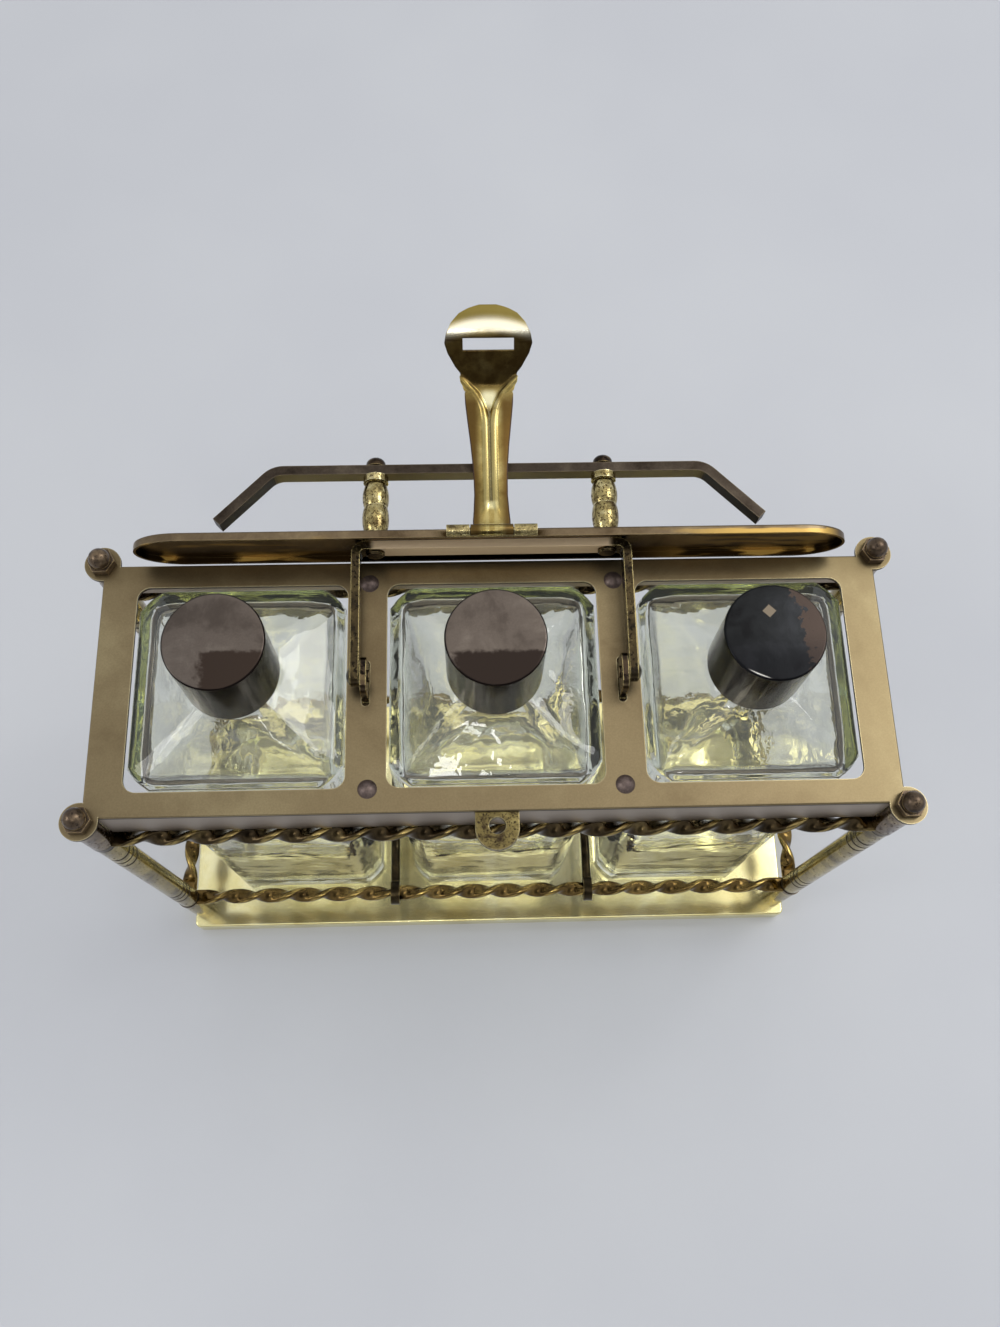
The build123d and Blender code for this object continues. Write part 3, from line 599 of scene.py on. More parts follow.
# ---- Pivot brackets and plate rivets --------------------------------------------------
# Under the plate a strap is held by two round-headed rivets, and its lug stands up
# through a slot to carry the pin. Dark bronze, bright on the curved top of the lugs.
lug_bronze = brass(
    "lug_bronze",
    shade(34, 28, 24),
    shade(70, 58, 46),
    shade(108, 92, 66),
    patch=0.006,
    gloss=(0.22, 0.38),
    pits=0.2,
    worn_lit_edge_tone=shade(206, 188, 132),
    worn_lit_edge_width=0.0006,
)
for name in ("pivot_bracket_left", "pivot_bracket_right"):
    eased(name, "frame", 0.0003, lug_bronze)
rivet_bronze = brass(
    "rivet_bronze",
    shade(78, 66, 62),
    shade(100, 86, 81),
    shade(120, 105, 97),
    patch=0.004,
    gloss=(0.38, 0.5),
    corner_darkening=0.8,
    bare=0.7,
)
coat(rivet_bronze, "plate_rivets")

# ---- Padlock staple -------------------------------------------------------------------
# A thick cast tongue through the front skirt, bent down behind it, with a round hole for
# the shackle. Its face is pale and pitted, and its rim is bright.
staple_brass = brass(
    "staple_pitted_brass",
    shade(58, 46, 32),
    shade(122, 108, 66),
    shade(152, 138, 88),
    patch=0.006,
    gloss=(0.28, 0.42),
    grain=0.2,
    pits=0.52,
    pit_size=0.0007,
    worn_lit_edge_tone=shade(184, 170, 124),
    worn_lit_edge_width=0.0006,
    corner_darkening=0.5,
    relief=0.00006,
    bare=0.85,
)
eased("padlock_staple", "frame", 0.00045, staple_brass)

# ---- Domed nuts -----------------------------------------------------------------------
# Acorn nuts of dark bronze: a hexagon, a neck and a round dome, screwed down on the tie
# rods at the four corners of the plate.
eased("acorn_nuts", "frame", 0.0003, nut_bronze)

# ---- Pivot pins and bail --------------------------------------------------------------
# The bail is a strap bent to a U that turns on two round-headed pins, dark on its sides and
# spotted along its edges, which are bright with wear and painted highlight. Its crosspiece
# lies in the bar.
pin_bronze = brass(
    "pin_bronze",
    shade(22, 18, 18),
    shade(44, 36, 34),
    shade(86, 72, 60),
    patch=0.004,
    gloss=(0.2, 0.34),
    worn_lit_edge_tone=shade(160, 140, 100),
)
coat(pin_bronze, "pivot_pins")
bail_brass = brass(
    "bail_worn_brass",
    shade(34, 27, 17),
    shade(64, 53, 33),
    shade(92, 79, 50),
    patch=0.006,
    gloss=(0.22, 0.38),
    pits=0.35,
    pit_size=0.0014,
    worn_lit_edge_tone=shade(206, 188, 130),
    worn_lit_edge_width=0.0006,
    worn_lit_edge_share=0.62,
    bare=0.85,
)
bail_axes = axes_of(bail_brass)
bail_aside = off(bail_brass, bail_axes[0])
crosspiece = both(
    bail_brass,
    between(bail_brass, bail_axes[1], 0.0475, 0.0485),
    between(bail_brass, bail_aside, 0.047, 0.044),
)
# The crosspiece is painted pale pinkish gold: a painted reflection of the bright glass in front of it.
stained(bail_brass, both(bail_brass, crosspiece, 0.9), shade(244, 216, 176), 0.35, 0.2)
eased("bail", "locking_bar", 0.0004, bail_brass)

# ---- Locking bar ----------------------------------------------------------------------
# A shallow trough pressed from sheet, with a bullet-shaped end at each side. Grey-brown
# outside; inside, painted shade makes it dark brown, with streaks of painted gold highlight
# near the ends, more on the right.
bar_brass = brass(
    "bar_brown_brass",
    shade(84, 70, 52),
    shade(110, 95, 74),
    shade(130, 114, 88),
    patch=0.02,
    gloss=(0.24, 0.36),
    grain=0.1,
    worn_lit_edge_tone=shade(150, 132, 96),
    worn_lit_edge_width=0.0005,
    worn_lit_edge_share=0.5,
    corner_darkening=0.3,
    relief=0.00001,
)
pivot_z = 0.2342
bar_outer = 0.0534
bar_axes = axes_of(bar_brass)
from_pivot = maths(
    bar_brass,
    "ADD",
    both(bar_brass, bar_axes[1], 0.99863),
    both(bar_brass, maths(bar_brass, "SUBTRACT", bar_axes[2], pivot_z), 0.05234),
)
trough_side = between(bar_brass, from_pivot, bar_outer - 0.0009, bar_outer - 0.0011)
# Painted shade: the inside of the trough darkened where ambient occlusion finds it hemmed in.
trough_shade = between(
    bar_brass, step(bar_brass, "ShaderNodeAmbientOcclusion", {"Distance": 0.006}, samples=4).outputs["AO"],
    0.98, 0.8,
)
stained(
    bar_brass,
    both(bar_brass, trough_side, trough_shade),
    shade(50, 38, 20),
    0.16,
)
bar_aside = off(bar_brass, bar_axes[0])
near_ends = both(
    bar_brass,
    between(bar_brass, bar_aside, 0.055, 0.1),
    between(bar_brass, bar_aside, 0.1335, 0.126),
)
streaked = step(bar_brass, "ShaderNodeMapping", {
    "Vector": step(bar_brass, "ShaderNodeTexCoord", {}).outputs["Object"],
    "Scale": (0.14, 1.0, 1.0),
})
more_right = between(bar_brass, bar_axes[0], -0.12, 0.12, 0.56, 0.44)
streaks = between(
    bar_brass,
    maths(bar_brass, "SUBTRACT", clouds(bar_brass, streaked.outputs[0], 0.004, 2.0, 0.5), more_right),
    0.0,
    0.1,
)
# Painted gold highlights, streaked near the ends of the trough.
painted_gold_highlights = both(bar_brass, both(bar_brass, trough_side, near_ends), streaks)
stained(bar_brass, painted_gold_highlights, shade(196, 158, 78), 0.3, 0.45)
eased("locking_bar", "locking_bar", 0.00025, bar_brass)

# ---- Screws, pillars and handle -------------------------------------------------------
# Two turned pillars stand on the bar under the handle, held by round screws through both.
# The handle is a flat bar with eased edges, bent down at both ends and cut off square.
screw_bronze = brass(
    "screw_bronze",
    shade(34, 28, 24),
    shade(66, 54, 42),
    shade(104, 88, 62),
    patch=0.004,
    gloss=(0.24, 0.38),
    pits=0.2,
    worn_lit_edge_tone=shade(170, 150, 104),
)
coat(screw_bronze, "bar_screws")
handle_top = 0.08418
handle_level = 0.23861
pillar_x = 0.0443
head_round = 0.0038
head_collar = 0.0013


def round_head(x):
    """A round screw head on the handle's outer side: a short collar under a low dome."""
    clear_hand()
    collar_top = handle_top + head_collar
    bpy.ops.mesh.primitive_uv_sphere_add(
        segments=40,
        ring_count=24,
        radius=head_round,
        location=(x, collar_top, handle_level),
        rotation=(-math.pi / 2, 0, 0),
    )
    head = bpy.context.object
    settle(head)
    bpy.ops.object.mode_set(mode="EDIT")
    bpy.ops.mesh.select_all(action="SELECT")
    bpy.ops.mesh.bisect(
        plane_co=(x, collar_top, handle_level), plane_no=(0, 1, 0), clear_inner=True
    )
    bpy.ops.mesh.select_all(action="SELECT")
    bpy.ops.transform.resize(value=(1, 0.74, 1), center_override=(x, collar_top, handle_level))
    choose("edges", lambda edge: edge.is_boundary)
    bpy.ops.mesh.extrude_edges_move(TRANSFORM_OT_translate={"value": (0, -head_collar, 0)})
    bpy.ops.mesh.edge_face_add()
    bpy.ops.mesh.select_all(action="SELECT")
    bpy.ops.mesh.normals_make_consistent(inside=False)
    bpy.ops.object.mode_set(mode="OBJECT")
    bpy.ops.object.shade_smooth_by_angle(angle=math.radians(50))
    head.data.materials.append(screw_bronze)
    return head


screw_heads = joined([round_head(-pillar_x), round_head(pillar_x)], "handle_screw_heads")
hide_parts("handle_screws")
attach(screw_heads, "locking_bar")
pillar_brass = brass(
    "pillar_pitted_brass",
    shade(84, 68, 42),
    shade(166, 150, 100),
    shade(210, 196, 146),
    patch=0.005,
    gloss=(0.14, 0.28),
    grain=0.2,
    pits=0.4,
    pit_size=0.0009,
    worn_lit_edge_tone=shade(236, 225, 180),
    corner_darkening=0.8,
    relief=0.00006,
)
coat(pillar_brass, "pillar_left", "pillar_right")
handle_bronze = brass(
    "handle_dark_bronze",
    shade(46, 39, 33),
    shade(66, 58, 50),
    shade(86, 77, 66),
    patch=0.015,
    gloss=(0.28, 0.42),
    grain=0.16,
    worn_lit_edge_tone=shade(124, 112, 92),
    worn_lit_edge_width=0.0006,
    worn_lit_edge_share=0.5,
    corner_darkening=0.3,
)
# Painted light and shade by which way the faces turn: faces turned to the front get a lighter gold, and the
# bends between get dark.
handle_facing = step(handle_bronze, "ShaderNodeNewGeometry", {}).outputs["True Normal"]
handle_normal = step(handle_bronze, "ShaderNodeSeparateXYZ", {0: handle_facing}).outputs
front_facing_light = between(handle_bronze, handle_normal[1], -0.5, -0.8)
fold_facing_shade = both(
    handle_bronze,
    between(handle_bronze, handle_normal[1], -0.1, -0.3),
    between(handle_bronze, handle_normal[1], -0.95, -0.8),
)
stained(handle_bronze, both(handle_bronze, front_facing_light, 0.8), shade(112, 96, 56), 0.3, 0.6)
stained(handle_bronze, fold_facing_shade, shade(30, 22, 18), 0.4)
eased("handle_bar", "locking_bar", 0.0007, handle_bronze)

# ---- Hinge on the bar's front rim -----------------------------------------------------
# A leaf of sheet brass fixed to the rim, with a rolled knuckle at each side of the hasp's
# own, and a plain pin through all three. Pale and pitted.
leaf_brass = brass(
    "hinge_pitted_brass",
    shade(96, 82, 52),
    shade(168, 152, 104),
    shade(206, 192, 142),
    patch=0.004,
    gloss=(0.2, 0.34),
    grain=0.2,
    pits=0.25,
    pit_size=0.0008,
    worn_lit_edge_tone=shade(226, 212, 164),
    relief=0.00005,
    bare=0.8,
)
eased("hinge_leaf", "locking_bar", 0.0002, leaf_brass)
coat(leaf_brass, "hinge_pin")

# ---- Hasp -----------------------------------------------------------------------------
# Stamped from sheet brass: two ribs with a stippled flute between them run up the neck and
# part in a V under the head, which has the slot for the staple and a curled lip. Polished.
hinge_y = 0.050382
hinge_z = 0.252111
throw = math.radians(228)
hasp_back = Vector((0, math.cos(throw), -math.sin(throw)))
hasp_up = Vector((0, math.sin(throw), math.cos(throw)))
hinge_point = Vector((0, hinge_y, hinge_z))
hasp_thick = 0.0016
knuckle_radius = 0.00215
knuckle_long = 0.016
neck_bend = Vector((-0.03605, -0.04645))
neck_handle = Vector((-0.0245, -0.02053))
lip_bend = Vector((-0.03605, -0.06895))
lip_tip = Vector((-0.03945, -0.07625))
straight_share = 0.86
slot_at = 0.0752
slot_half = 0.0097
slot_tall = 0.0044
hasp_start = 0.0014
# Half widths up the hasp: the distance along it from the hinge, and the half width there.
hasp_widths = (
    (0.0, 7.0), (3.6, 7.0), (8.0, 6.55), (14.7, 6.2), (21.0, 6.3), (27.5, 6.6), (36.0, 7.3),
    (44.2, 8.2), (52.5, 9.1), (56.4, 9.3), (57.2, 9.0), (57.9, 9.6), (60.6, 10.35),
    (63.2, 11.2), (63.9, 10.7), (64.8, 10.9), (67.0, 12.7), (68.3, 13.4), (72.0, 15.5), (75.8, 16.7),
    (79.5, 16.0), (83.3, 14.0), (86.5, 11.05), (88.4, 7.6), (89.4, 4.6), (89.8, 3.0),
)
# The ribs and the V: the distance from the hinge, and how far each ridge is from the middle.
ridge_line = (
    (0.0, 3.4), (6.0, 2.6), (11.0, 1.75), (20.0, 1.6), (34.0, 1.6), (46.0, 1.7), (50.0, 2.1),
    (53.0, 3.0), (57.0, 5.2), (60.6, 8.2), (63.0, 10.8), (66.0, 13.6),
)


def along(table, distance):
    """Reads a table of pairs between its lines, in mm."""
    for (start, low), (end, high) in zip(table, table[1:]):
        if distance <= end:
            share = (distance - start) / (end - start)
            return low + (high - low) * share
    return table[-1][1]


def hasp_stations(count):
    """Points down the middle of the sheet at equal distances, with their direction."""
    fine = []
    for i in range(401):
        t = i / 400
        curve = neck_handle * (2 * t * (1 - t)) + neck_bend * (t * t)
        fine.append(curve)
    head = neck_bend + (lip_bend - neck_bend) * straight_share
    fine += [neck_bend + (head - neck_bend) * (i / 150) for i in range(1, 151)]
    chord = lip_tip - head
    curl_half = math.atan2(-chord.x, -chord.y)
    curl_radius = chord.length / (2 * math.sin(curl_half))
    for i in range(1, 121):
        turn = 2 * curl_half * i / 120
        fine.append(head + Vector((math.cos(turn) - 1, -math.sin(turn))) * curl_radius)
    eased_line = []
    for i, point in enumerate(fine):
        reach = min(14, i, len(fine) - 1 - i)
        near = fine[i - reach:i + reach + 1]
        eased_line.append(sum(near, Vector((0, 0))) / len(near))
    fine = eased_line
    lengths = [0.0]
    for first, second in zip(fine, fine[1:]):
        lengths.append(lengths[-1] + (second - first).length)
    stations = []
    at = 0
    for i in range(count + 1):
        wanted = hasp_start + (lengths[-1] - hasp_start) * i / count
        while at < len(lengths) - 2 and lengths[at + 1] < wanted:
            at += 1
        share = (wanted - lengths[at]) / (lengths[at + 1] - lengths[at])
        point = fine[at].lerp(fine[at + 1], share)
        low = fine[max(at - 6, 0)]
        high = fine[min(at + 7, len(fine) - 1)]
        stations.append((wanted, point, (high - low).normalized()))
    return stations


def bell(distance, middle, width):
    """1 at the middle, falling smoothly to 0 at that width to each side."""
    share = min(1.0, abs(distance - middle) / width)
    return 0.5 + 0.5 * math.cos(math.pi * share)


def rise(distance, low, high):
    """0 below low and 1 above high, with a smooth step between them."""
    share = max(0.0, min(1.0, (distance - low) / (high - low)))
    return share * share * (3 - 2 * share)


def pressed(distance, aside, half):
    """How far the stamping stands out of the sheet, in mm, at a place on the hasp."""
    ridge = along(ridge_line, distance)
    fade_in = rise(distance, 5.0, 12.0)
    fade_out = 1 - rise(distance, 61.5, 64.5)
    wide = 1.45 + 0.9 * rise(distance, 48.0, 60.0)
    rib = 0.5 * bell(abs(aside), ridge, wide) * fade_in * fade_out
    on_neck = 1 - rise(distance, 50.0, 60.0)
    shoulder = 0.5 * (1 - min(1.0, (abs(aside) / half)) ** 2.2) * on_neck * rise(distance, 3.0, 9.0)
    petal = rise(distance, 42.0, 59.3) if distance < 59.3 else max(0.0, (64.0 - distance) / 4.7)
    petal *= 0.95 * rise(abs(aside), ridge - 0.7, ridge + 0.5)
    flute = -0.2 * rise(1.15 - abs(aside), 0.0, 0.4) * rise(distance, 10.0, 13.0)
    flute *= 1 - rise(distance, 46.0, 51.0)
    before = 59.0 - distance
    facet = -0.075 * (before + math.sqrt(before * before + 2.0)) * rise(distance, 46.0, 52.0)
    facet *= rise(ridge - abs(aside), 0.2, 1.2)
    return rib + shoulder + petal + flute + facet


def dark_head_reflection(distance, aside):
    """1 on the head inside the V, where a dark reflection is painted, falling to 0 on the neck and on the
    lip.
    """
    inside = rise(along(ridge_line, distance) - abs(aside), -0.5, 0.4) if distance < 65.0 else 1.0
    return inside * rise(distance, 56.5, 60.5) * (1 - rise(distance, 76.8, 81.2))


def hasp_sheet():
    """The tongue as one grid of faces, laid on its curve and pressed to its relief."""
    across = 64
    down = 160
    clear_hand()
    bpy.ops.mesh.primitive_grid_add(x_subdivisions=across, y_subdivisions=down, size=2)
    sheet = bpy.context.object
    stations = hasp_stations(down)
    slot_columns = round(across / 2 * 0.6)
    sheet.data.attributes.new("flat_place", "FLOAT_VECTOR", "POINT")
    sheet.data.attributes.new("from_rim", "FLOAT", "POINT")
    kept = sheet.data.attributes["flat_place"].data
    rim = sheet.data.attributes["from_rim"].data
    for point, flat, edge in zip(sheet.data.vertices, kept, rim):
        row = round((point.co.y + 1) / 2 * down)
        column = round(point.co.x * across / 2)
        reach, middle, way = stations[row]
        distance = reach * 1000
        half = along(hasp_widths, distance)
        share = column / (across / 2)
        near_slot = bell(distance, slot_at * 1000, 9.0) ** 0.5
        inner = half * 0.6 * (1 - near_slot) + slot_half * 1000 * near_slot
        if abs(column) <= slot_columns:
            aside = inner * column / slot_columns
        else:
            outer_share = (abs(column) - slot_columns) / (across / 2 - slot_columns)
            aside = math.copysign(inner + (half - inner) * outer_share, column)
        stand = pressed(distance, aside, half) / 1000
        outward = Vector((-way.y, way.x))
        if outward.x < 0:
            outward = -outward
        spot = middle + outward * stand
        point.co = hinge_point + hasp_back * spot.x + hasp_up * spot.y + Vector((aside / 1000, 0, 0))
        flat.vector = (aside / 1000, reach, dark_head_reflection(distance, aside))
        edge.value = half - abs(aside)
    return sheet


hasp = hasp_sheet()
take(hasp)
bpy.ops.object.mode_set(mode="EDIT")
flat_layer = bmesh.from_edit_mesh(hasp.data).verts.layers.float_vector["flat_place"]


def in_slot(face):
    """Faces of the sheet that the slot takes away."""
    place = sum((vert[flat_layer] for vert in face.verts), Vector()) / len(face.verts)
    return abs(place.x) < slot_half and abs(place.y - slot_at) < slot_tall / 2


choose("faces", in_slot)
bpy.ops.mesh.delete(type="FACE")
bpy.ops.mesh.select_all(action="SELECT")
bpy.ops.mesh.normals_make_consistent(inside=False)
bpy.ops.object.mode_set(mode="OBJECT")
wall = hasp.modifiers.new("sheet", "SOLIDIFY")
wall.thickness = hasp_thick
wall.offset = 0.0
wall.use_even_offset = True
ease = hasp.modifiers.new("edges", "BEVEL")
ease.width = 0.0003
ease.segments = 2
ease.limit_method = "ANGLE"
ease.angle_limit = math.radians(60)
apply_all(hasp)


def rolled_knuckle():
    """The tube that is rolled round the pin at the foot of the hasp."""
    clear_hand()
    bpy.ops.mesh.primitive_circle_add(
        vertices=40,
        radius=0.00106,
        fill_type="NOTHING",
        location=(-knuckle_long / 2, hinge_y, hinge_z),
        rotation=(0, math.pi / 2, 0),
    )
    tube = bpy.context.object
    settle(tube)
    bpy.ops.object.mode_set(mode="EDIT")
    bpy.ops.mesh.select_all(action="SELECT")
    bpy.ops.mesh.extrude_edges_move()
    wider = knuckle_radius / 0.00106
    bpy.ops.transform.resize(value=(1, wider, wider), center_override=(0, hinge_y, hinge_z))
    bpy.ops.mesh.select_all(action="SELECT")
    bpy.ops.mesh.extrude_region_move(TRANSFORM_OT_translate={"value": (knuckle_long, 0, 0)})
    bpy.ops.mesh.select_all(action="SELECT")
    bpy.ops.mesh.normals_make_consistent(inside=False)
    bpy.ops.object.mode_set(mode="OBJECT")
    ease = tube.modifiers.new("edges", "BEVEL")
    ease.width = 0.0002
    ease.segments = 2
    ease.limit_method = "ANGLE"
    ease.angle_limit = math.radians(50)
    apply_all(tube)
    tube.data.attributes.new("flat_place", "FLOAT_VECTOR", "POINT")
    tube.data.attributes.new("from_rim", "FLOAT", "POINT")
    kept = tube.data.attributes["flat_place"].data
    rim = tube.data.attributes["from_rim"].data
    for point, flat, edge in zip(tube.data.vertices, kept, rim):
        flat.vector = (point.co.x, 0.0, 0.0)
        edge.value = 5.0
    return tube


hasp = joined([hasp, rolled_knuckle()], "hasp_stamped")
take(hasp)
bpy.ops.object.shade_smooth_by_angle(angle=math.radians(45))
hasp_brass = brass(
    "hasp_polished_brass",
    shade(122, 102, 54),
    shade(160, 140, 82),
    shade(188, 171, 112),
    patch=0.012,
    gloss=(0.20, 0.30),
    grain=0.1,
    worn_lit_edge_tone=shade(232, 222, 172),
    worn_lit_edge_width=0.0004,
    corner_darkening=0.3,
    relief=0.00002,
)
hasp_flat = step(hasp_brass, "ShaderNodeAttribute", {}, attribute_name="flat_place").outputs["Vector"]
hasp_place = step(hasp_brass, "ShaderNodeSeparateXYZ", {0: hasp_flat}).outputs
hasp_aside = off(hasp_brass, hasp_place[0])
on_neck = between(hasp_brass, hasp_place[1], 0.059, 0.052)
# Painted shade on the sloping sides of the neck.
neck_side_shade = both(hasp_brass, between(hasp_brass, hasp_aside, 0.0026, 0.0058), on_neck)
stained(hasp_brass, both(hasp_brass, neck_side_shade, 0.9), shade(92, 68, 34), 0.34)
from_rim = step(hasp_brass, "ShaderNodeAttribute", {}, attribute_name="from_rim").outputs["Fac"]
# Painted shade along the rims of the neck.
neck_rim_shade = both(hasp_brass, between(hasp_brass, from_rim, 0.55, 0.3), on_neck)
stained(hasp_brass, neck_rim_shade, shade(62, 42, 30), 0.5, 0.5)
# Painted highlight along the two ribs.
rib_middle = off(hasp_brass, hasp_aside, 0.00165)
rib_highlight = both(
    hasp_brass,
    between(hasp_brass, rib_middle, 0.0009, 0.0004),
    between(hasp_brass, hasp_place[1], 0.050, 0.046),
)
stained(hasp_brass, both(hasp_brass, rib_highlight, 0.75), shade(186, 170, 112), 0.28)
up_neck = between(hasp_brass, hasp_place[1], 0.0105, 0.0125)
flute_mask = both(hasp_brass, between(hasp_brass, hasp_aside, 0.00115, 0.0009), up_neck)
flute_mask = maths(
    hasp_brass, "MULTIPLY", flute_mask, between(hasp_brass, hasp_place[1], 0.0515, 0.049)
)
stipple = between(hasp_brass, clouds(hasp_brass, hasp_flat, 0.0006, 1.0), 0.4, 0.6, 0.55, 1.0)
stained(hasp_brass, both(hasp_brass, flute_mask, stipple), shade(108, 100, 74), 0.5)
# A painted highlight low on the neck.
neck_spot_highlight = both(
    hasp_brass,
    between(hasp_brass, hasp_aside, 0.0028, 0.0006),
    between(
        hasp_brass,
        off(hasp_brass, hasp_place[1], 0.0102),
        0.0024,
        0.0006,
    ),
)
stained(hasp_brass, neck_spot_highlight, shade(236, 224, 166), 0.2)
# A painted highlight on the facet at the foot of the V.
facet_highlight = both(
    hasp_brass,
    between(hasp_brass, hasp_aside, 0.0042, 0.0010),
    between(
        hasp_brass,
        off(hasp_brass, hasp_place[1], 0.0546),
        0.0046,
        0.0010,
    ),
)
stained(hasp_brass, facet_highlight, shade(250, 242, 196), 0.2)
# A painted highlight in a band across the lip.
lip_line = maths(
    hasp_brass,
    "ADD",
    hasp_place[1],
    both(hasp_brass, both(hasp_brass, hasp_aside, hasp_aside), 14.0),
)
lip_highlight = both(
    hasp_brass,
    between(hasp_brass, lip_line, 0.0785, 0.0820),
    between(hasp_brass, lip_line, 0.0872, 0.0828),
)
stained(hasp_brass, both(hasp_brass, lip_highlight, 0.95), shade(252, 246, 222), 0.2)
# Painted shade on the crown of the lip.
lip_crown_shade = between(hasp_brass, lip_line, 0.0838, 0.0872)
stained(hasp_brass, both(hasp_brass, lip_crown_shade, 0.9), shade(134, 119, 62), 0.34)
# A painted dark reflection over the head, broken up by clouds.
head_reflection_cloud = between(hasp_brass, clouds(hasp_brass, hasp_flat, 0.006, 4.0), 0.35, 0.65, 0.82, 0.98)
head_reflection = both(hasp_brass, hasp_place[2], head_reflection_cloud)
stained(hasp_brass, head_reflection, shade(66, 50, 25), 0.22)
hasp.data.materials.clear()
hasp.data.materials.append(hasp_brass)
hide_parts("hasp")
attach(hasp, "hasp")

# ---- Bottles --------------------------------------------------------------------------
# Square decanters of thick pressed glass, faintly green where it is deep, with cut corners,
# a pyramid shoulder, a round neck and a heavy base. The faces are a little wavy.
bottle_pitch = 0.0959
bottle_half = 0.0396
bottle_cut = 0.0085
bottle_floor = 0.0104
bottle_well = 0.0194
shoulder_low = 0.2248
shoulder_high = 0.236
inner_half = 0.0346
inner_cut = 0.00557
inner_low = 0.2198
inner_high = 0.231
neck_round = 0.013
bore_round = 0.0096
neck_top = 0.263
punt_rise = 0.0014
flat_steps = 12
cut_steps = 6


def square_ring(half, cut, z, softness=0.0):
    """Points round a square with cut corners, all at one height."""
    points = []
    for quarter in range(4):
        turn = Matrix.Rotation(quarter * math.pi / 2, 3, "Z")
        for i in range(flat_steps):
            y = -(half - cut) + 2 * (half - cut) * i / flat_steps
            points.append(turn @ Vector((half, y, z)))
        for i in range(cut_steps):
            share = i / cut_steps
            swell = softness * cut * math.sin(math.pi * share)
            x = half - cut * share + swell
            y = half - cut + cut * share + swell
            points.append(turn @ Vector((x, y, z)))
    return points


def round_ring(radius, z):
    """Points round a circle, in step with those of a square ring."""
    points = []
    for quarter in range(4):
        turn = Matrix.Rotation(quarter * math.pi / 2, 3, "Z")
        for i in range(flat_steps):
            angle = math.radians(-30 + 60 * i / flat_steps)
            points.append(turn @ Vector((radius * math.cos(angle), radius * math.sin(angle), z)))
        for i in range(cut_steps):
            angle = math.radians(30 + 30 * i / cut_steps)
            points.append(turn @ Vector((radius * math.cos(angle), radius * math.sin(angle), z)))
    return points


def turn_of(place):
    """The angle of a place round the upright axis, from 0 up to a full turn."""
    return place.xy.angle_signed(Vector((1, 0)), 0) % (2 * math.pi)


def set_in_step(verts, points):
    """Sets a ring of vertices on a ring of points, both taken in their order round the axis."""
    rim = sorted(verts, key=lambda vert: turn_of(vert.co))
    for vert, point in zip(rim, sorted(points, key=turn_of)):
        vert.co = point


def lift_rim(shape_points):
    """Extrudes the open rim once more and sets it on the next ring."""
    bpy.ops.mesh.extrude_edges_move()
    shape = bmesh.from_edit_mesh(bpy.context.object.data)
    set_in_step([vert for vert in shape.verts if vert.select], shape_points)
    bmesh.update_edit_mesh(bpy.context.object.data)


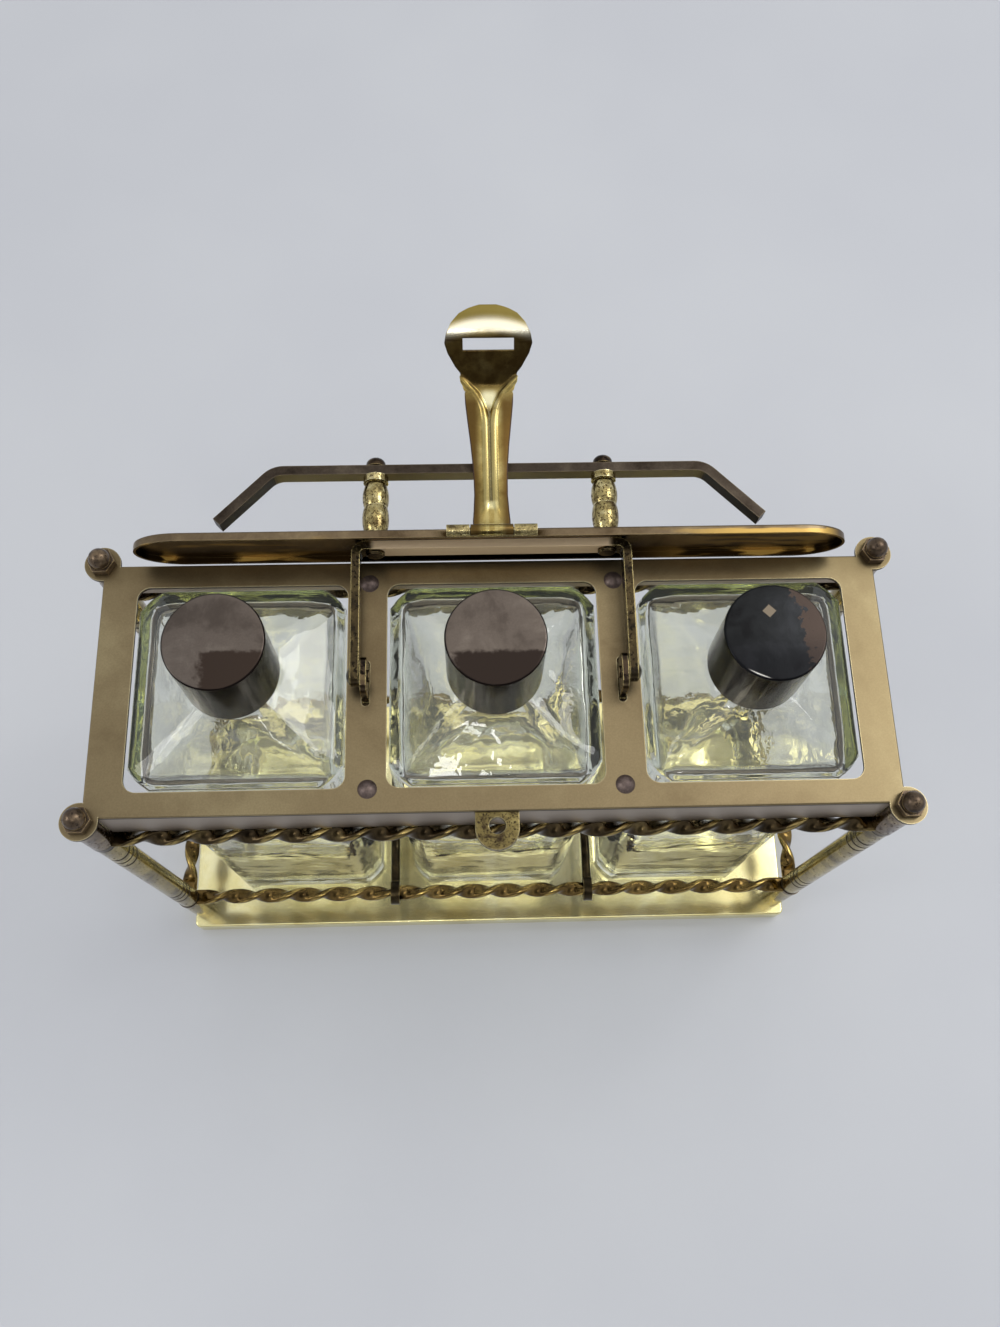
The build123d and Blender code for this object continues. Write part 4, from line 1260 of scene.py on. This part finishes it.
def glass_bottle():
    """One closed shell of glass: up the outside, over the lip and down the inside."""
    clear_hand()
    count = 4 * (flat_steps + cut_steps)
    bpy.ops.mesh.primitive_circle_add(vertices=count, radius=0.01, fill_type="NOTHING")
    bottle = bpy.context.object
    bpy.ops.object.mode_set(mode="EDIT")
    bpy.ops.mesh.select_all(action="SELECT")
    shape = bmesh.from_edit_mesh(bottle.data)
    first = square_ring(0.006, 0.002, bottle_floor + punt_rise, 0.3)
    set_in_step(shape.verts, first)
    bmesh.update_edit_mesh(bottle.data)
    outside = [
        square_ring(0.018, 0.004, bottle_floor + punt_rise - 0.0001, 0.3),
        square_ring(0.028, 0.006, bottle_floor + 0.0009, 0.2),
        square_ring(bottle_half - 0.0058, bottle_cut - 0.001, bottle_floor + 0.00015, 0.06),
        square_ring(bottle_half - 0.0040, bottle_cut - 0.001, bottle_floor + 0.00005, 0.06),
        square_ring(bottle_half - 0.0014, bottle_cut, bottle_floor + 0.0008, 0.06),
        square_ring(bottle_half, bottle_cut, bottle_floor + 0.0032, 0.06),
        square_ring(bottle_half, bottle_cut, bottle_floor + 0.012, 0.06),
        square_ring(bottle_half, bottle_cut, shoulder_low - 0.014, 0.06),
        square_ring(bottle_half, bottle_cut, shoulder_low - 0.0016, 0.06),
        square_ring(bottle_half - 0.0002, bottle_cut, shoulder_low - 0.0006, 0.06),
        square_ring(bottle_half - 0.0009, bottle_cut, shoulder_low + 0.0003, 0.06),
        square_ring(bottle_half - 0.0034, bottle_cut - 0.0012, shoulder_low + 0.0013, 0.1),
        square_ring(0.0300, 0.0042, shoulder_low + 0.0042, 0.05),
        square_ring(0.0205, 0.0026, shoulder_low + 0.0080, 0.1),
        square_ring(0.0168, 0.0062, shoulder_high - 0.0014, 0.35),
        round_ring(0.0146, shoulder_high + 0.0004),
        round_ring(neck_round, shoulder_high + 0.0026),
        round_ring(neck_round, neck_top - 0.0012),
        round_ring(neck_round - 0.0004, neck_top - 0.0003),
        round_ring(neck_round - 0.0012, neck_top),
    ]
    inside = [
        round_ring(bore_round + 0.0008, neck_top),
        round_ring(bore_round, neck_top - 0.0008),
        round_ring(bore_round, inner_high + 0.003),
        round_ring(bore_round + 0.0008, inner_high + 0.0006),
        square_ring(0.0125, 0.0052, inner_high - 0.0012, 0.3),
        square_ring(0.0200, 0.0060, inner_high - 0.0052, 0.2),
        square_ring(0.0300, 0.0052, inner_low + 0.0014, 0.2),
        square_ring(inner_half - 0.0012, inner_cut + 0.001, inner_low - 0.0010, 0.3),
        square_ring(inner_half, inner_cut, inner_low - 0.0040, 0.3),
        square_ring(inner_half, inner_cut, bottle_well + 0.0080, 0.3),
        square_ring(inner_half - 0.0010, inner_cut + 0.001, bottle_well + 0.0028, 0.3),
        square_ring(inner_half - 0.0044, inner_cut + 0.001, bottle_well + 0.0006, 0.3),
        square_ring(0.0200, 0.004, bottle_well, 0.3),
        square_ring(0.0060, 0.002, bottle_well + 0.0004, 0.3),
    ]
    bpy.ops.mesh.select_mode(type="EDGE")
    bpy.ops.mesh.select_all(action="SELECT")
    for ring in outside + inside:
        lift_rim(ring)
    bpy.ops.mesh.edge_face_add()
    choose(
        "edges",
        lambda edge: edge.is_boundary and all(vert.co.z < bottle_well - 0.002 for vert in edge.verts),
    )
    bpy.ops.mesh.edge_face_add()
    bpy.ops.mesh.select_all(action="SELECT")
    bpy.ops.mesh.normals_make_consistent(inside=False)
    bpy.ops.object.mode_set(mode="OBJECT")
    bpy.ops.object.shade_smooth_by_angle(angle=math.radians(38))
    return bottle


def clear_glass(name):
    """Clear wavy glass with a faint green in its depth."""
    finish = blank(name)
    place = step(finish, "ShaderNodeTexCoord", {}).outputs["Object"]
    wave = clouds(finish, place, 0.022, 1.5, 0.4, 0.6)
    ripple = clouds(finish, place, 0.006, 2.0, 0.5, 0.3)
    height = maths(finish, "ADD", wave, both(finish, ripple, 0.12))
    bump = step(finish, "ShaderNodeBump", {"Height": height, "Strength": 0.35, "Distance": 0.002})
    glass = step(
        finish,
        "ShaderNodeBsdfPrincipled",
        {
            "Base Color": (0.99, 1.0, 0.97, 1.0),
            "Roughness": 0.015,
            "IOR": 1.5,
            "Transmission Weight": 0.985,
            "Normal": bump.outputs[0],
        },
    )
    depth = step(
        finish,
        "ShaderNodeVolumeAbsorption",
        {"Color": (0.80, 0.90, 0.62, 1.0), "Density": 7.0},
    )
    step(
        finish,
        "ShaderNodeOutputMaterial",
        {"Surface": glass.outputs[0], "Volume": depth.outputs[0]},
    )
    return finish


bottle_glass = clear_glass("decanter_glass")
first_bottle = glass_bottle()
for name, middle in (("left", -bottle_pitch), ("middle", 0.0), ("right", bottle_pitch)):
    bottle = first_bottle.copy()
    bottle.data = first_bottle.data.copy()
    bpy.context.collection.objects.link(bottle)
    bottle.name = "decanter_" + name
    bottle.data.name = bottle.name
    bottle.location = (middle, 0, 0)
    settle(bottle)
    bottle.data.materials.clear()
    bottle.data.materials.append(bottle_glass)
    bottle.visible_shadow = False
    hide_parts("bottle_" + name)
    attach(bottle, "bottle_" + name)
clear_hand()
bpy.data.objects.remove(first_bottle)

# ---- Stoppers -------------------------------------------------------------------------
# A cork in the neck under a drawn metal cap. The caps are dark gloss bronze: mauve-brown on
# two of them, and almost black on the third, where the brown is left only at the rim.
cork = blank("stopper_cork")
cork_place = step(cork, "ShaderNodeTexCoord", {}).outputs["Object"]
cork_grain = between(cork, clouds(cork, cork_place, 0.002, 4.0, 0.7, 1.0), 0.35, 0.7)
cork_tone = blended(cork, cork_grain, shade(206, 172, 126), shade(150, 112, 72))
cork_bump = step(cork, "ShaderNodeBump", {"Height": cork_grain, "Strength": 0.5, "Distance": 0.0002})
cork_face = step(
    cork,
    "ShaderNodeBsdfPrincipled",
    {"Base Color": cork_tone, "Roughness": 0.8, "Normal": cork_bump.outputs[0]},
)
step(cork, "ShaderNodeOutputMaterial", {"Surface": cork_face.outputs[0]})
coat(cork, "cork_left", "cork_middle", "cork_right")

cap_top = 0.273
cap_radius = 0.0177


def cap_bronze(name, middle, deep, body, bright, lit):
    """Dark bronze of one cap, with painted reflections in dark and pale stripes down its sides, and a
    painted highlight on the rim of its top towards the lamp.
    """
    finish = brass(
        name, deep, body, bright, patch=0.018, gloss=(0.16, 0.24), grain=0.06, corner_darkening=0.0, relief=0.00001
    )
    finish.node_tree.nodes["metal"].inputs["Specular Tint"].default_value = (0.8, 0.78, 0.76, 1.0)
    place = axes_of(finish)
    x = maths(finish, "SUBTRACT", place[0], middle)
    y = place[1]
    reach = maths(
        finish,
        "SQRT",
        maths(finish, "ADD", both(finish, x, x), both(finish, y, y)),
        0.0,
    )
    on_top = between(finish, place[2], cap_top - 0.0009, cap_top - 0.0005)
    side = maths(finish, "SUBTRACT", 1.0, on_top)
    turn = maths(finish, "ARCTAN2", y, x)
    unrolled = step(finish, "ShaderNodeCombineXYZ", {0: turn, 1: both(finish, place[2], 4.0)})
    reflection_stripes = clouds(finish, unrolled.outputs[0], 0.55, 3.0, 0.6)
    # The sides are painted a lighter grey, with dark and pale stripes: painted reflections.
    stained(finish, side, shade(104, 97, 90), 0.16)
    dark_side_reflections = both(finish, side, between(finish, reflection_stripes, 0.47, 0.53))
    stained(finish, dark_side_reflections, shade(50, 44, 40), 0.12)
    pale_side_reflections = both(finish, side, between(finish, reflection_stripes, 0.42, 0.37))
    stained(finish, pale_side_reflections, shade(164, 155, 144), 0.2)
    # A painted highlight on the rim of the top, on the side towards the lamp.
    from_middle = step(finish, "ShaderNodeCombineXYZ", {0: x, 1: y}).outputs[0]
    toward_lamp = agreement(finish, from_middle, lit)
    glint = both(
        finish,
        between(finish, toward_lamp, cap_radius - 0.0013, cap_radius - 0.0010),
        between(finish, reach, cap_radius - 0.0005, cap_radius - 0.0008),
    )
    stained(finish, both(finish, glint, on_top), shade(232, 228, 222), 0.2)
    return finish, x, y, reach, on_top


for name, middle, ragged_low, ragged_left, dark_reflection_tone, lit in (
    ("left", -bottle_pitch, -0.003, -0.006, shade(62, 52, 46), (0.55, -0.835, 0.0)),
    ("middle", 0.0, -0.0045, -0.0165, shade(52, 44, 40), (-0.08, -0.997, 0.0)),
):
    cap, x, y, reach, on_top = cap_bronze(
        "cap_bronze_" + name, middle, shade(82, 74, 68), shade(102, 93, 86), shade(118, 109, 101), lit
    )
    # A ragged darker patch over the front of the top: a painted reflection.
    torn = clouds(cap, step(cap, "ShaderNodeTexCoord", {}).outputs["Object"], 0.003, 4.0, 0.7)
    low_part = maths(cap, "ADD", y, both(cap, maths(cap, "SUBTRACT", torn, 0.5), 0.004))
    dark_reflection_mask = between(cap, low_part, ragged_low, ragged_low - 0.0015)
    ragged = both(cap, maths(cap, "SUBTRACT", torn, 0.5), 0.012)
    start = between(cap, maths(cap, "ADD", x, ragged), ragged_left, ragged_left + 0.0035)
    dark_reflection_mask = both(cap, dark_reflection_mask, start)
    stained(cap, both(cap, dark_reflection_mask, on_top), dark_reflection_tone, 0.2)
    rim_line = between(cap, reach, cap_radius - 0.0006, cap_radius - 0.0004)
    stained(cap, both(cap, rim_line, on_top), shade(30, 24, 22))
    eased("cap_" + name, "stopper_" + name, 0.0006, cap, 50)

cap, x, y, reach, on_top = cap_bronze(
    "cap_bronze_right",
    bottle_pitch,
    shade(27, 27, 28),
    shade(35, 36, 37),
    shade(44, 45, 47),
    (-0.42, -0.908, 0.0),
)
torn = clouds(cap, step(cap, "ShaderNodeTexCoord", {}).outputs["Object"], 0.005, 4.0, 0.7)
leaning = maths(cap, "ADD", x, both(cap, y, 0.15))
rim_part = maths(cap, "ADD", leaning, both(cap, maths(cap, "SUBTRACT", torn, 0.5), 0.022))
brown_left = between(cap, rim_part, 0.0098, 0.0103)
stained(cap, both(cap, brown_left, on_top), shade(64, 55, 50), 0.3)
# The front half of the top painted darker: a painted reflection.
dark_front_reflection = between(cap, y, 0.002, -0.010, 0.0, 0.5)
stained(cap, both(cap, dark_front_reflection, on_top), shade(14, 14, 17), 0.18)
# A pale diamond painted on the top, towards the back.
across = maths(
    cap,
    "ADD",
    maths(cap, "ABSOLUTE", maths(cap, "ADD", x, 0.0015), 0.0),
    off(cap, y, 0.0078),
)
pale_diamond = between(cap, across, 0.0026, 0.0022)
stained(cap, both(cap, pale_diamond, on_top), shade(112, 102, 88), 0.4)
eased("cap_right", "stopper_right", 0.0006, cap, 50)

# ---- Floor, lamps and camera ----------------------------------------------------------
# A plain pale floor under soft light from above, and the camera where the photograph was
# taken from: high over the front edge, looking down at the plate.
clear_hand()
bpy.ops.mesh.primitive_circle_add(vertices=96, radius=4.0, fill_type="NGON", location=(0, 0, 0))
floor = bpy.context.object
floor.name = "floor"
floor_paint = blank("floor_paint")
floor_place = step(floor_paint, "ShaderNodeTexCoord", {}).outputs["Object"]
floor_cloud = between(floor_paint, clouds(floor_paint, floor_place, 0.3, 3.0), 0.3, 0.7)
floor_tone = blended(floor_paint, floor_cloud, shade(195, 197, 202), shade(200, 202, 206))
floor_face = step(floor_paint, "ShaderNodeBsdfPrincipled", {"Base Color": floor_tone, "Roughness": 0.6})
step(floor_paint, "ShaderNodeOutputMaterial", {"Surface": floor_face.outputs[0]})
floor.data.materials.append(floor_paint)

world = bpy.data.worlds.new("room_light")
world.use_nodes = True
bpy.context.scene.world = world
world.node_tree.nodes.clear()
sky_way = step(world, "ShaderNodeTexCoord", {}).outputs["Generated"]
dusk = between(world, agreement(world, sky_way, (0.0, -0.77, 0.638)), 0.82, 0.97)
sky_tone = blended(world, dusk, (0.80, 0.82, 0.86, 1.0), (0.22, 0.22, 0.22, 1.0))
window = between(world, agreement(world, sky_way, (0.0, -0.40, 0.917)), 0.95, 0.985)
sky_tone = blended(world, window, sky_tone, (1.5, 1.48, 1.44, 1.0))
ceiling = between(world, agreement(world, sky_way, (0.12, 0.33, 0.936)), 0.90, 0.98)
sky_tone = blended(world, ceiling, sky_tone, (1.35, 1.33, 1.3, 1.0))
sky = step(world, "ShaderNodeBackground", {"Color": sky_tone, "Strength": 0.85})
step(world, "ShaderNodeOutputWorld", {"Surface": sky.outputs[0]})


def soft_lamp(name, place, aim, size, power):
    """A square soft lamp that faces a point."""
    clear_hand()
    bpy.ops.object.light_add(type="AREA", location=place)
    lamp = bpy.context.object
    lamp.name = name
    lamp.data.shape = "SQUARE"
    lamp.data.size = size
    lamp.data.energy = power
    lamp.rotation_euler = (Vector(aim) - Vector(place)).to_track_quat("-Z", "Y").to_euler()
    return lamp


soft_lamp("lamp_over", (0.95, 0.35, 1.5), (0.0, 0.0, 0.15), 0.8, 8.0)
soft_lamp("lamp_left", (-1.3, -0.2, 1.2), (0.0, 0.0, 0.15), 0.6, 4.0)
soft_lamp("lamp_front", (-0.08, -0.95, 1.6), (0.0, 0.05, 0.25), 0.12, 0.6)

camera_data = bpy.data.cameras.new("camera")
camera_data.lens = 32.47
camera_data.sensor_width = 36.0
camera_data.clip_start = 0.01
camera = bpy.data.objects.new("camera", camera_data)
bpy.context.collection.objects.link(camera)
camera.matrix_world = Matrix(
    (
        (0.9995276, 0.01682011, -0.02572270, -0.009268),
        (-0.02452542, 0.94092219, -0.33773353, -0.146256),
        (0.01852234, 0.33820485, 0.94089022, 0.653024),
        (0.0, 0.0, 0.0, 1.0),
    )
)
bpy.context.scene.camera = camera
bpy.context.scene.view_settings.view_transform = "Standard"
